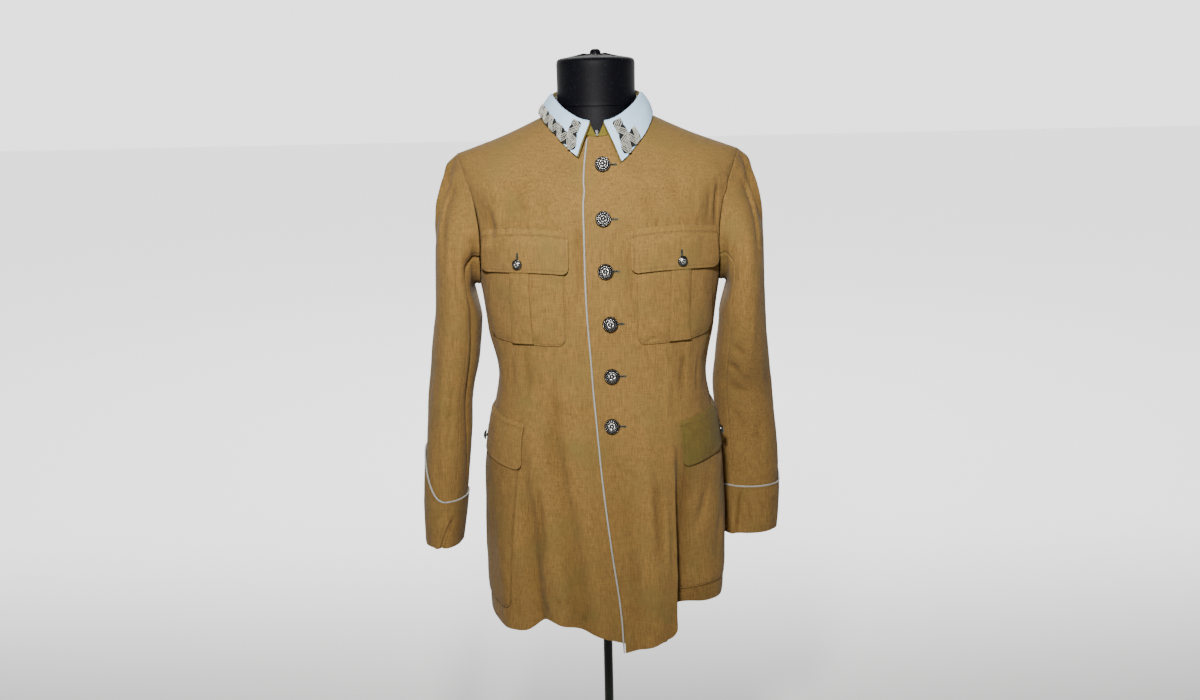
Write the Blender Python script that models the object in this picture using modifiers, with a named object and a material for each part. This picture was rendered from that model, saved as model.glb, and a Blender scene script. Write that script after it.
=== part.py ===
"""Military officer jacket on a limbless dress form.

Metres, +Z up. The front faces -Y and the wearer's left is +X. The pole
stands on the Z axis and the underside of its base lies at Z = 0.

The body of the jacket is one surface, read at an angle round the body and
a level up the body. Its panels are stretches of that surface, and each
piece that lies on a panel is made from the same points, moved out.
"""
import math

import bpy
import numpy as np

# Thickness of the cloth and the room between pieces.
CLOTH = 0.0018
THIN_CLOTH = 0.0010
SEAM = 0.0003
LAYER = 0.0033
REST_GAP = 0.0011

# Dress form.
POLE_RADIUS = 0.008
BASE_RADIUS = 0.190
BASE_HEIGHT = 0.012
SOCKET_RADIUS = 0.026
SOCKET_HEIGHT = 0.050
TORSO_BOTTOM = 0.760
NECK_SEAM_HEIGHT = 1.475
NECK_TOP = 1.552
NECK_RADIUS = 0.0640
KNOB_RADIUS = 0.011
KNOB_FLATNESS = 0.55
# Room between the torso and the jacket: over the chest, more at the arms and
# in the skirt, and more under the lapped fronts, spread over an angle.
TORSO_ROOM = 0.0006
TORSO_EASE = 0.016
TORSO_ARM_EASE = 0.016
TORSO_SKIRT_EASE = 0.020
TORSO_LAP_EASE = 0.0042
TORSO_LAP_SPREAD = 46.0
FORM_COLUMNS = 24
TORSO_LEVELS = (10.75, 10.3, 9.8, 9.4, 9.0, 8.6, 8.0, 7.0, 6.0, 5.0, 4.0, 3.0, 2.0, 1.1)
# Top of the torso: height, half width, half depth, how far its back rises
TORSO_TOP_ROWS = ((NECK_SEAM_HEIGHT, 0.0645, 0.0640, 0.0), (1.458, 0.0665, 0.0680, 0.010))
# Neck, from its flat top down: height, radius
NECK_ROWS = ((NECK_TOP + 0.002, 0.030), (NECK_TOP, 0.052), (NECK_TOP - 0.004, 0.0625),
             (NECK_TOP - 0.012, NECK_RADIUS), (1.512, 0.0636),
             (NECK_SEAM_HEIGHT + SEAM, 0.0645))
POLE_SIDES = 20
BASE_SIDES = 40
BASE_EDGE = 0.004

# Angles run from the wearer's left side (0) by the front (90) to the
# right side (180) and the middle of the back (270).
FRONT = 90.0
RIGHT_SIDE = 180.0

# Levels up the body, one for each row of the table.
HEM, HIP, ARMPIT, SHOULDER, NECK = 0.0, 2.0, 6.0, 9.0, 11.0

# level, height at the side, half width, front depth, back depth,
# front drop, back drop, squareness of the ring
BODY_ROWS = np.array([
    (0.0, 0.570, 0.2010, 0.170, 0.154, 0.000, 0.000, 2.30),
    (1.0, 0.720, 0.2040, 0.160, 0.149, 0.000, 0.000, 2.30),
    (2.0, 0.860, 0.2010, 0.146, 0.138, 0.000, 0.000, 2.30),
    (3.0, 0.950, 0.1900, 0.133, 0.124, 0.000, 0.000, 2.30),
    (4.0, 1.035, 0.1760, 0.123, 0.110, 0.000, 0.000, 2.25),
    (5.0, 1.110, 0.1890, 0.127, 0.112, 0.000, 0.000, 2.25),
    (6.0, 1.185, 0.1990, 0.132, 0.121, 0.000, 0.000, 2.30),
    (7.0, 1.270, 0.2120, 0.132, 0.128, 0.010, 0.005, 2.35),
    (8.0, 1.345, 0.2230, 0.125, 0.128, 0.034, 0.020, 2.35),
    (9.0, 1.402, 0.2310, 0.115, 0.118, 0.060, 0.035, 2.35),
])
YOKE_ROWS = np.array([
    (9.0, 1.402, 0.2310, 0.115, 0.118, 0.060, 0.035, 2.35),
    (10.0, 1.431, 0.1520, 0.101, 0.096, 0.049, 0.016, 2.20),
    (11.0, 1.466, 0.0750, 0.088, 0.075, 0.038, -0.008, 2.00),
])

# Where the panels are cut at the hem, one table for the wearer's left
# panels and one for the right: angle, height
HEM_LEFT = np.array([
    (-90.0, 0.638), (-45.0, 0.634), (0.0, 0.646), (30.0, 0.646), (49.0, 0.649),
    (54.0, 0.645), (59.0, 0.615), (66.0, 0.606), (84.0, 0.588), (110.0, 0.588),
])
HEM_RIGHT = np.array([
    (60.0, 0.604), (86.0, 0.606), (93.0, 0.617), (108.0, 0.637), (118.0, 0.642),
    (128.0, 0.622), (140.0, 0.618), (165.0, 0.624), (180.0, 0.632), (225.0, 0.636),
    (270.0, 0.638),
])

# Height, x of the edge of the front that laps over.
FRONT_EDGE = np.array([
    (0.56, 0.0300), (0.66, 0.0245), (0.76, 0.0115), (0.87, -0.0010),
    (0.98, -0.0100), (1.06, -0.0150), (1.15, -0.0205), (1.28, -0.0225),
    (1.36, -0.0215), (1.43, -0.0140),
])
LAP = 0.070
LAP_STEP = 0.034

# Folds that hang from the waist or the chest. A soft fold is a bell across
# the angle: angle at its top, angle at its foot, level of its top, level of
# its foot, half width in degrees, depth outward in metres.
FOLDS = (
    (121.0, 97.0, 4.6, 0.0, 7.0, -0.010),
    (110.0, 103.0, 3.0, 0.0, 6.0, 0.006),
    (134.0, 121.0, 2.6, 0.0, 6.0, -0.012),
    (146.0, 140.0, 2.4, 0.0, 8.0, 0.006),
    (74.0, 70.0, 4.2, 0.0, 9.0, 0.008),
    (92.0, 86.0, 4.4, 0.6, 7.0, -0.004),
    (228.0, 222.0, 4.2, 0.0, 10.0, -0.012),
    (245.0, 243.0, 4.0, 0.0, 8.0, 0.010),
    (262.0, 260.0, 3.6, 0.0, 7.0, -0.009),
    (282.0, 284.0, 3.9, 0.0, 8.0, 0.009),
    (300.0, 303.0, 4.2, 0.0, 9.0, -0.012),
    (322.0, 326.0, 3.8, 0.0, 9.0, 0.008),
    (36.0, 38.0, 8.6, 6.2, 10.0, -0.004),
    (146.0, 143.0, 8.6, 5.8, 11.0, -0.004),
    (214.0, 218.0, 8.6, 5.6, 10.0, -0.006),
    (326.0, 322.0, 8.6, 5.6, 10.0, -0.006),
)
# The deep fold on the wearer's left, where the front flute turns back.
VALLEY_ANGLE = 56.0
VALLEY_STEP = 3.4
VALLEY_REACH = 40.0
VALLEY_TOP = 3.1
VALLEY_DEPTH = 0.040

# Columns of the panels: angles off the side seam, and how many columns a
# front has past the last of them.
SIDE_LINES = {
    1: (0.0, 7.0, 14.0, 21.0, 28.0, 35.0, 42.5, 50.0, 52.8, 56.0, 59.2, 63.0),
    -1: (0.0, 8.0, 16.0, 24.0, 32.0, 40.0, 48.0, 56.0, 63.0),
}
FRONT_COLUMNS = {1: 4, -1: 7}
BACK_LINES = (0.0, 8.0, 16.0, 24.0, 32.0, 41.0, 50.0, 60.0, 70.0, 80.0, 90.0)
HALF_SEAM = 0.045

ARMHOLE_FRONT = 26.0
ARMHOLE_BACK = 22.0
ARMHOLE_STEPS = 8
SLEEVE_START = 0.003
SLEEVE_GAP = 0.0006

# Sleeves down the arm: height, outward place of the middle, depth place of
# the middle, half width, half depth
SLEEVE_RIGHT_ROWS = np.array([
    (1.260, 0.2330, 0.000, 0.0400, 0.0780),
    (1.130, 0.2400, 0.000, 0.0400, 0.0740),
    (1.060, 0.2485, 0.000, 0.0405, 0.0700),
    (1.000, 0.2585, 0.000, 0.0370, 0.0680),
    (0.930, 0.2640, -0.002, 0.0380, 0.0640),
    (0.860, 0.2700, -0.004, 0.0370, 0.0620),
    (0.800, 0.2750, -0.005, 0.0350, 0.0600),
    (0.735, 0.2800, -0.006, 0.0300, 0.0590),
])
SLEEVE_LEFT_ROWS = np.array([
    (1.260, 0.2330, 0.002, 0.0400, 0.0780),
    (1.130, 0.2390, 0.006, 0.0390, 0.0740),
    (1.060, 0.2400, 0.022, 0.0450, 0.0640),
    (1.000, 0.2430, 0.044, 0.0510, 0.0540),
    (0.930, 0.2500, 0.061, 0.0530, 0.0480),
    (0.860, 0.2560, 0.071, 0.0530, 0.0460),
    (0.800, 0.2580, 0.076, 0.0520, 0.0440),
    (0.722, 0.2560, 0.080, 0.0510, 0.0430),
])
CAP_RINGS = 5
CAP_LEAD = 1.25
# Rings of a sleeve below its cap: height of the middle, rise of its outer side
SLEEVE_RINGS = ((1.185, 0.060), (1.130, 0.034), (1.075, 0.012), (1.020, 0.0), (0.965, 0.0),
                (0.910, 0.0), (0.860, 0.0), (0.810, 0.0), (0.770, 0.0))
CUFF_HEIGHT = 0.087
CUFF_PEAK = 0.070
CUFF_PEAK_WIDTH = 58.0
CUFF_SEAM_ANGLE = {-1: 340.0, 1: 308.0}
PIPING_RADIUS = 0.0014

# Collar: height of the stand and how far it leans in, from front to back.
STAND_FRONT = 0.017
STAND_BACK = 0.028
STAND_LEAN = 0.006
STAND_MEET = 0.0012
STAND_OPEN = 0.0105
ROLL = 0.0042
FALL_LIFT = 0.0034
# Lower edge of the fall, from the right front corner round to the left:
# angle, level
FALL_EDGE = np.array([
    (101.3, 10.24), (110.0, 10.42), (124.0, 10.62), (145.0, 10.75), (180.0, 10.81),
    (225.0, 10.62), (270.0, 10.45), (315.0, 10.62), (360.0, 10.81), (404.0, 10.60),
    (424.5, 10.35), (438.4, 10.02),
])
COLLAR_COLUMNS = 28
PATCH_COLUMNS = 7
# Braid on the collar, as shares round it: its front edge, its width and
# where its lower part ends.
BRAID_FRONT = 0.012
BRAID_SHARE = 0.027
BRAID_BACK = {-1: 0.225, 1: 0.075}

# Breast pockets, from the middle outward: x of each side, heights.
BREAST_INNER = 0.056
BREAST_OUTER = 0.182
BREAST_TOP = 1.272
BREAST_FOOT = 1.098
BREAST_FLAP_TOP = 1.282
BREAST_FLAP_FOOT = 1.214
BREAST_FLAP_LAP = 0.007
PLEAT_INNER = 0.110
PLEAT_OUTER = 0.143
# Hip pockets: angle away from the side seam of the front edge, at top and
# foot, and of the back edge.
HIP_FRONT = {-1: (48.0, 42.0), 1: (50.0, 50.0)}
HIP_BACK = -32.0
HIP_TOP = 0.955
HIP_FOOT = {-1: 0.652, 1: 0.672}
HIP_FLAP_FRONT = 0.966
HIP_FLAP_RISE = 0.024
HIP_FLAP_HEIGHT = 0.078
HIP_FLAP_LAP = 1.2

# Hook and eye: place up the stand, how far it stands in front, its size.
HOOK_RISE = 0.32
HOOK_PROUD = 0.0021
HOOK_SIZE = (0.0050, 0.0010, 0.0080)

# Buttons: height, x
FRONT_BUTTONS = ((1.3845, 0.0075), (1.3010, 0.0070), (1.2190, 0.0085),
                 (1.1340, 0.0145), (1.0480, 0.0150), (0.9660, 0.0145))
BIG_BUTTON = 0.0125
SMALL_BUTTON = 0.0085
BREAST_BUTTON_X = 0.128
BREAST_BUTTON_HEIGHT = 1.2315
HIP_BUTTON_ANGLE = 4.0
HIP_BUTTON_HEIGHT = 0.926
BUTTON_SINK = 0.00035
BUTTON_SHANK = 0.0018
BUTTON_FOOT = 0.00045
BIG_BUTTON_SIDES = 14
SMALL_BUTTON_SIDES = 10


def material(name, colour, roughness, metallic=0.0):
    """A plain Principled material."""
    made = bpy.data.materials.new(name)
    made.use_nodes = True
    shader = made.node_tree.nodes["Principled BSDF"]
    shader.inputs["Base Color"].default_value = (*colour, 1.0)
    shader.inputs["Roughness"].default_value = roughness
    shader.inputs["Metallic"].default_value = metallic
    return made


def smooth(value):
    """Ease from 0 to 1 with level ends."""
    held = np.clip(value, 0.0, 1.0)
    return held * held * (3.0 - 2.0 * held)


def through(places, values, where):
    """Smooth curve through the rows of a table (cubic, no jumps in slope)."""
    places = np.asarray(places, dtype=float)
    values = np.asarray(values, dtype=float)
    slope = np.gradient(values, places)
    where = np.clip(where, places[0], places[-1])
    index = np.clip(np.searchsorted(places, where, side="right") - 1, 0, len(places) - 2)
    span = places[index + 1] - places[index]
    part = (where - places[index]) / span
    start = values[index] * (1.0 + 2.0 * part) * (1.0 - part) ** 2
    start = start + slope[index] * span * part * (1.0 - part) ** 2
    end = values[index + 1] * part ** 2 * (3.0 - 2.0 * part)
    return start + end - slope[index + 1] * span * part ** 2 * (1.0 - part)


def section(column, level):
    """One column of the body tables at any level."""
    lower = through(BODY_ROWS[:, 0], BODY_ROWS[:, column], level)
    upper = through(YOKE_ROWS[:, 0], YOKE_ROWS[:, column], level)
    return np.where(level > SHOULDER, upper, lower)


def unit(vectors):
    """Vectors of length one."""
    return vectors / np.linalg.norm(vectors, axis=-1, keepdims=True)


def ring_point(angle, level):
    """Point of the plain body: a squared ellipse at each level."""
    turn = np.radians(angle)
    power = 2.0 / section(7, level)
    across = np.sign(np.cos(turn)) * np.abs(np.cos(turn)) ** power
    along = np.sign(np.sin(turn)) * np.abs(np.sin(turn)) ** power
    front = along > 0.0
    depth = np.where(front, section(3, level), section(4, level))
    drop = np.where(front, section(5, level), section(6, level))
    height = section(1, level) - drop * np.sin(turn) ** 2
    return np.stack((section(2, level) * across, -depth * along, height), axis=-1)


def fold_out(angle, level):
    """How far the folds push the cloth out at each place."""
    angle = np.mod(angle, 360.0)
    total = np.zeros(np.broadcast(angle, level).shape)
    for top_angle, foot_angle, top, foot, width, depth in FOLDS:
        down = np.clip((top - level) / (top - foot), 0.0, 1.0)
        middle = top_angle + (foot_angle - top_angle) * down
        gap = np.mod(angle - middle + 180.0, 360.0) - 180.0
        grown = smooth(down * 1.6)
        if foot > 1.0:
            grown = grown * smooth((1.0 - down) * 3.0)
        total = total + depth * grown * np.exp(-(gap / width) ** 2)
    down = smooth((VALLEY_TOP - level) / VALLEY_TOP)
    past = VALLEY_ANGLE - angle
    step = smooth(0.5 + past / (2.0 * VALLEY_STEP))
    back = 1.0 - smooth((past - VALLEY_STEP) / VALLEY_REACH)
    return total - VALLEY_DEPTH * down * step * back


def body_point(angle, level):
    """Point of the jacket's outer face at an angle and a level.

    The ring points are averaged over nearby levels, more at the front and
    back than at the side seam, then the folds push them out.
    """
    angle, level = np.broadcast_arrays(np.asarray(angle, float), np.asarray(level, float))
    side = np.abs(np.sin(np.radians(angle)))
    room = np.minimum(level, NECK - level)
    reach = np.minimum(0.75 * smooth(side / 0.55), room)
    point = 0.0
    for shift, weight in ((-1.0, 1.0), (-0.5, 2.0), (0.0, 2.0), (0.5, 2.0), (1.0, 1.0)):
        point = point + ring_point(angle, level + shift * reach) * weight / 8.0
    turn = np.radians(angle)
    depth = np.where(np.sin(turn) > 0.0, section(3, level), section(4, level))
    out = unit(np.stack((np.cos(turn) / section(2, level), -np.sin(turn) / depth,
                         np.zeros(level.shape)), axis=-1))
    return point + out * fold_out(angle, level)[..., None]


def surface_normal(angle, level):
    """Outward direction of the jacket's surface."""
    turn = 0.4
    rise = 0.02
    low = np.clip(level - rise, HEM, NECK)
    high = np.clip(level + rise, HEM, NECK)
    round_way = body_point(angle + turn, level) - body_point(angle - turn, level)
    up_way = body_point(angle, high) - body_point(angle, low)
    return unit(np.cross(up_way, round_way))


def level_at(angle, height):
    """Level where the surface has a given height, found by halving."""
    angle, height = np.broadcast_arrays(np.asarray(angle, float), np.asarray(height, float))
    low = np.zeros(angle.shape)
    high = np.full(angle.shape, NECK)
    for _ in range(26):
        middle = 0.5 * (low + high)
        above = body_point(angle, middle)[..., 2] > height
        high = np.where(above, middle, high)
        low = np.where(above, low, middle)
    return 0.5 * (low + high)


def angle_for(x, level):
    """Front angle where the ring of a level has a given x."""
    share = np.clip(x / section(2, level), -1.0, 1.0)
    cosine = np.sign(share) * np.abs(share) ** (section(7, level) / 2.0)
    return np.degrees(np.arccos(cosine))


def place_on_front(x, height):
    """Angle and level of the front's point with a given x and height."""
    x, height = np.broadcast_arrays(np.asarray(x, float), np.asarray(height, float))
    angle = np.where(x > 0.0, 70.0, 110.0)
    level = level_at(angle, height)
    for _ in range(4):
        angle = angle_for(x, level)
        level = level_at(angle, height)
    return angle, level


def edge_angle(level, shift=0.0):
    """Angle of the front edge at each level, shifted sideways in metres."""
    angle = np.full(np.shape(level), FRONT)
    for _ in range(4):
        height = body_point(angle, level)[..., 2]
        x = through(FRONT_EDGE[:, 0], FRONT_EDGE[:, 1], height) + shift
        angle = angle_for(x, level)
    return angle


def armhole(level, reach):
    """Angle cut away at the armhole: half an ellipse between its levels."""
    share = (level - ARMPIT) / (SHOULDER - ARMPIT)
    inside = np.clip(1.0 - (2.0 * share - 1.0) ** 2, 0.0, 1.0)
    return reach * np.sqrt(inside)


def armhole_levels():
    """Levels of the rows that cross the armhole, closer at its ends."""
    steps = np.arange(ARMHOLE_STEPS + 1) / ARMHOLE_STEPS
    return ARMPIT + (SHOULDER - ARMPIT) * 0.5 * (1.0 - np.cos(math.pi * steps))


def panel_levels():
    """Levels of all rows of a panel, hem to neck."""
    lower = np.array((0.0, 0.35, 0.8, 1.3, 1.8, 2.3, 2.8, 3.3, 3.8, 4.3, 4.8, 5.4))
    upper = np.array((9.5, 10.0, 10.5, 11.0))
    return np.concatenate((lower, armhole_levels(), upper))


def make_object(name, points, faces, look, group):
    """A mesh object in the jacket's collection."""
    mesh = bpy.data.meshes.new(name)
    mesh.from_pydata(np.asarray(points, float).tolist(), [], faces)
    mesh.materials.append(look)
    mesh.validate()
    made = bpy.data.objects.new(name, mesh)
    group.objects.link(made)
    return made


def grid_faces(rows, columns, closed, first=0, flip=False):
    """Quads of a grid of points, round in the columns if it is closed."""
    faces = []
    for row in range(rows - 1):
        for column in range(columns if closed else columns - 1):
            after = (column + 1) % columns
            near = first + row * columns
            far = near + columns
            quad = (near + column, near + after, far + after, far + column)
            faces.append(quad[::-1] if flip else quad)
    return faces


def wall(name, outer, inward, look, group, closed=False, thickness=CLOTH):
    """Closed cloth wall: an outer grid, and the same grid moved inward.

    outer has rows by columns; its faces point out when the columns run
    with the angle and the rows run down.
    """
    rows, columns = outer.shape[:2]
    inner = outer + inward * thickness
    points = np.concatenate((outer.reshape(-1, 3), inner.reshape(-1, 3)))
    count = rows * columns
    faces = grid_faces(rows, columns, closed)
    faces += grid_faces(rows, columns, closed, count, True)
    for row, turned in ((0, False), (rows - 1, True)):
        for column in range(columns if closed else columns - 1):
            after = (column + 1) % columns
            one = row * columns + column
            two = row * columns + after
            quad = (two, one, one + count, two + count)
            faces.append(quad[::-1] if turned else quad)
    if not closed:
        for column, turned in ((0, True), (columns - 1, False)):
            for row in range(rows - 1):
                one = row * columns + column
                two = one + columns
                quad = (two, one, one + count, two + count)
                faces.append(quad[::-1] if turned else quad)
    return make_object(name, points, faces, look, group)


def shade(made, degrees=50.0):
    """Smooth shading with sharp edges kept."""
    made.data.shade_smooth()
    made.data.set_sharp_from_angle(angle=math.radians(degrees))
    return made


def hem_level(angle, side):
    """Level where a panel is cut at the hem."""
    table = HEM_LEFT if side > 0 else HEM_RIGHT
    wrapped = np.where(angle > table[-1, 0] + 45.0, angle - 360.0, angle)
    return level_at(angle, np.interp(wrapped, table[:, 0], table[:, 1]))


def panel(name, side, lines, look, group, inset=None):
    """One body panel; lines gives the angles of its columns at a level."""
    levels = panel_levels()[::-1]
    angle = np.array([lines(level) for level in levels])
    foot = hem_level(angle[-1], side)
    cut = np.clip(1.0 - levels / HIP, 0.0, 1.0)
    level = levels[:, None] + foot[None, :] * cut[:, None]
    outer = body_point(angle, level)
    inward = -surface_normal(angle, level)
    if inset is not None:
        outer = outer + inward * inset(outer)[..., None]
    return shade(wall(name, outer, inward, look, group))


def lap_inset(points):
    """How far the under front lies in below the front that laps over."""
    edge = through(FRONT_EDGE[:, 0], FRONT_EDGE[:, 1], points[..., 2])
    return LAYER * smooth((points[..., 0] - edge + LAP_STEP) / (LAP_STEP * 0.8))


def side_lines(level, reach, lines):
    """Angles off the side seam, crowded together where the armhole cuts in."""
    lines = np.asarray(lines)
    first = HALF_SEAM + armhole(np.asarray(level), reach)
    return first + (lines[-1] - first) * lines / lines[-1]


def front_lines(level, side):
    """Angles of a front's columns, from its side seam to its front edge."""
    near = side_lines(level, ARMHOLE_FRONT, SIDE_LINES[side])
    shift = 0.0 if side > 0 else LAP
    edge = float(edge_angle(np.asarray(level), shift))
    last = edge if side > 0 else RIGHT_SIDE - edge
    far = near[-1] + (last - near[-1]) * np.arange(1, FRONT_COLUMNS[side] + 1) / FRONT_COLUMNS[side]
    angles = np.concatenate((near, far))
    return angles if side > 0 else RIGHT_SIDE - angles[::-1]


def back_lines(level, side):
    """Angles of a back's columns, from its side seam to the middle seam."""
    near = side_lines(level, ARMHOLE_BACK, BACK_LINES)
    near[-1] -= HALF_SEAM
    return RIGHT_SIDE + near if side < 0 else 360.0 - near[::-1]


def body_panels(look, group):
    """Two fronts and two backs."""
    panel("front_left", 1, lambda v: front_lines(v, 1), look, group)
    panel("front_right", -1, lambda v: front_lines(v, -1), look, group, lap_inset)
    panel("back_right", -1, lambda v: back_lines(v, -1), look, group)
    panel("back_left", 1, lambda v: back_lines(v, 1), look, group)


def sleeve_loop(side):
    """Armhole loop of one side: points, directions off the panel, steepness.

    The loop starts at the shoulder and runs by the front to the underarm
    and up the back.
    """
    down = armhole_levels()[::-1]
    levels = np.concatenate((down, down[::-1][1:-1]))
    front = np.arange(len(levels)) <= ARMHOLE_STEPS
    cut = np.where(front, armhole(levels, ARMHOLE_FRONT), -armhole(levels, ARMHOLE_BACK))
    angle = cut if side > 0 else RIGHT_SIDE - cut
    points = body_point(angle, levels)
    normal = surface_normal(angle, levels)
    run = np.roll(points, -1, axis=0) - np.roll(points, 1, axis=0)
    away = unit(np.cross(normal, run)) * side
    turn = np.arange(len(levels)) * (2.0 * math.pi / len(levels))
    steep = 0.25 * math.pi * (1.0 - np.cos(turn))
    lead = unit(away * np.cos(steep)[:, None] + normal * np.sin(steep)[:, None])
    return points, lead


def arm_ring(rows, side, height, grow=0.0, count=16):
    """Section of a sleeve at a height, or at a height for each point."""
    turn = np.arange(count) * (2.0 * math.pi / count)
    place = [through(rows[::-1, 0], rows[::-1, column], height) for column in range(1, 5)]
    x = place[0] + (place[2] + grow) * np.cos(turn)
    y = place[1] - (place[3] + grow) * np.sin(turn)
    return np.stack((side * x, y, np.broadcast_to(height, x.shape)), axis=-1)


def grid_inward(grid, closed):
    """Inward direction of a grid whose rows run down and columns round."""
    down = np.gradient(grid, axis=0)
    if closed:
        round_way = np.roll(grid, -1, axis=1) - np.roll(grid, 1, axis=1)
    else:
        round_way = np.gradient(grid, axis=1)
    return unit(np.cross(down, round_way))


def sleeve_rows(side):
    """The section table of one sleeve."""
    return SLEEVE_LEFT_ROWS if side > 0 else SLEEVE_RIGHT_ROWS


def sleeve_grid(side):
    """Outer grid of a sleeve, from the armhole to the wrist."""
    rows = sleeve_rows(side)
    points, lead = sleeve_loop(side)
    first = points + lead * SLEEVE_GAP
    second = points + lead * (SLEEVE_GAP + SLEEVE_START)
    outer_rise = np.cos(np.arange(len(points)) * (2.0 * math.pi / len(points)))
    (middle, rise), (next_middle, next_rise) = SLEEVE_RINGS[:2]
    below = arm_ring(rows, side, middle + rise * outer_rise)
    under = arm_ring(rows, side, next_middle + next_rise * outer_rise)
    heading = unit(under - below)
    length = np.linalg.norm(below - second, axis=1, keepdims=True)
    grid = [first, second]
    for step in range(1, CAP_RINGS + 1):
        part = step / CAP_RINGS
        start = second * (1.0 + 2.0 * part) * (1.0 - part) ** 2
        start = start + lead * length * CAP_LEAD * part * (1.0 - part) ** 2
        end = below * part ** 2 * (3.0 - 2.0 * part)
        grid.append(start + end - heading * length * part ** 2 * (1.0 - part))
    for middle, rise in SLEEVE_RINGS[1:]:
        grid.append(arm_ring(rows, side, middle + rise * outer_rise))
    grid.append(arm_ring(rows, side, rows[-1, 0]))
    return np.array(grid)


def sleeve(name, side, look, group):
    """One sleeve, a closed tube of cloth open at both ends."""
    grid = sleeve_grid(side)
    inward = grid_inward(grid, True) * side
    if side < 0:
        grid = grid[:, ::-1]
        inward = inward[:, ::-1]
    return shade(wall(name, grid, inward, look, group, True))


def cuff_top(side, turn, foot):
    """Height of a cuff's upper edge, which peaks at the back seam."""
    gap = np.mod(turn - CUFF_SEAM_ANGLE[side] + 180.0, 360.0) - 180.0
    peak = smooth(1.0 - np.abs(gap) / CUFF_PEAK_WIDTH)
    return foot + CUFF_HEIGHT + CUFF_PEAK * peak


def cuff_grid(side, grow, count=24):
    """Outer grid of a cuff and its upper edge."""
    rows = sleeve_rows(side)
    foot = rows[-1, 0]
    turn = np.arange(count) * (360.0 / count)
    top = cuff_top(side, turn, foot)
    grid = [arm_ring(rows, side, foot + (top - foot) * share, grow, count)
            for share in (1.0, 0.66, 0.33, 0.0)]
    return np.array(grid)


def cuff(name, side, look, group):
    """Cuff band outside the end of a sleeve."""
    grid = cuff_grid(side, CLOTH + REST_GAP)
    inward = grid_inward(grid, True) * side
    if side < 0:
        grid = grid[:, ::-1]
        inward = inward[:, ::-1]
    return shade(wall(name, grid, inward, look, group, True))


def cord_tube(name, path, radius, look, group, closed=False, sides=1):
    """Round cord along points, as a curve with filled caps."""
    curve = bpy.data.curves.new(name, "CURVE")
    curve.dimensions = "3D"
    curve.bevel_depth = radius
    curve.bevel_resolution = sides
    curve.use_fill_caps = not closed
    line = curve.splines.new("POLY")
    line.points.add(len(path) - 1)
    for spot, place in zip(line.points, path):
        spot.co = (*place, 1.0)
    line.use_cyclic_u = closed
    curve.materials.append(look)
    made = bpy.data.objects.new(name, curve)
    group.objects.link(made)
    return made


def edge_cord(points, normal, toward, closed):
    """Path of a cord along an edge of cloth, a seam gap outside it.

    It lies half a thickness in, on the side of the edge that toward names.
    """
    if closed:
        run = np.roll(points, -1, axis=0) - np.roll(points, 1, axis=0)
    else:
        run = np.gradient(points, axis=0)
    away = unit(np.cross(normal, run))
    away = away * np.sign(away @ np.array(toward))[:, None]
    return points + away * (PIPING_RADIUS + SEAM * 2.0) - normal * (CLOTH * 0.5)


def front_piping(look, group):
    """Piping down the edge of the front that laps over."""
    levels = panel_levels()
    angle = edge_angle(levels)
    foot = hem_level(angle[:1], 1)
    levels = levels + foot * np.clip(1.0 - levels / HIP, 0.0, 1.0)
    angle = edge_angle(levels)
    path = edge_cord(body_point(angle, levels), surface_normal(angle, levels),
                     (-1.0, 0.0, 0.0), False)
    cord_tube("front_piping", path, PIPING_RADIUS, look, group)


def cuff_piping(name, side, look, group):
    """Piping along the upper edge of a cuff."""
    grid = cuff_grid(side, CLOTH + REST_GAP)
    normal = -grid_inward(grid, True)[0] * side
    path = edge_cord(grid[0], normal, (0.0, 0.0, 1.0), True)
    cord_tube(name, path, PIPING_RADIUS, look, group, True)


def collar_line(share, end_right, end_left):
    """Angle round the neck: from the right front end by the back to the left."""
    return end_right + (end_left - end_right) * share


def stand_height(angle):
    """Height of the stand: lower in front than at the back."""
    back = 0.5 * (1.0 - np.sin(np.radians(angle)))
    return STAND_FRONT + (STAND_BACK - STAND_FRONT) * smooth(back)


def stand_point(share, rise):
    """Point of the stand's outer face; share runs round, rise goes 0 to 1."""
    open_x = STAND_MEET + (STAND_OPEN - STAND_MEET) * rise
    right = angle_for(-open_x, NECK)
    left = angle_for(open_x, NECK) + 360.0
    angle = collar_line(share, right, left)
    base = ring_point(angle, np.full(np.shape(angle), NECK))
    centre = np.array((0.0, -0.010, 0.0))
    out = unit((base - centre) * np.array((1.0, 1.0, 0.0)))
    height = stand_height(angle)
    point = base - out * (STAND_LEAN * rise)[..., None]
    point[..., 2] += SEAM * 2.0 + height * rise
    return point, out


def collar_stand(look, group):
    """Stand of the collar, on the neck edge of the panels."""
    share = np.linspace(0.0, 1.0, COLLAR_COLUMNS + 1)
    rise = np.array((1.0, 0.5, 0.0))
    share_grid, rise_grid = np.meshgrid(share, rise)
    grid, _ = stand_point(share_grid, rise_grid)
    inward = grid_inward(grid, False)
    return shade(wall("collar_stand", grid, inward, look, group))


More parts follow.
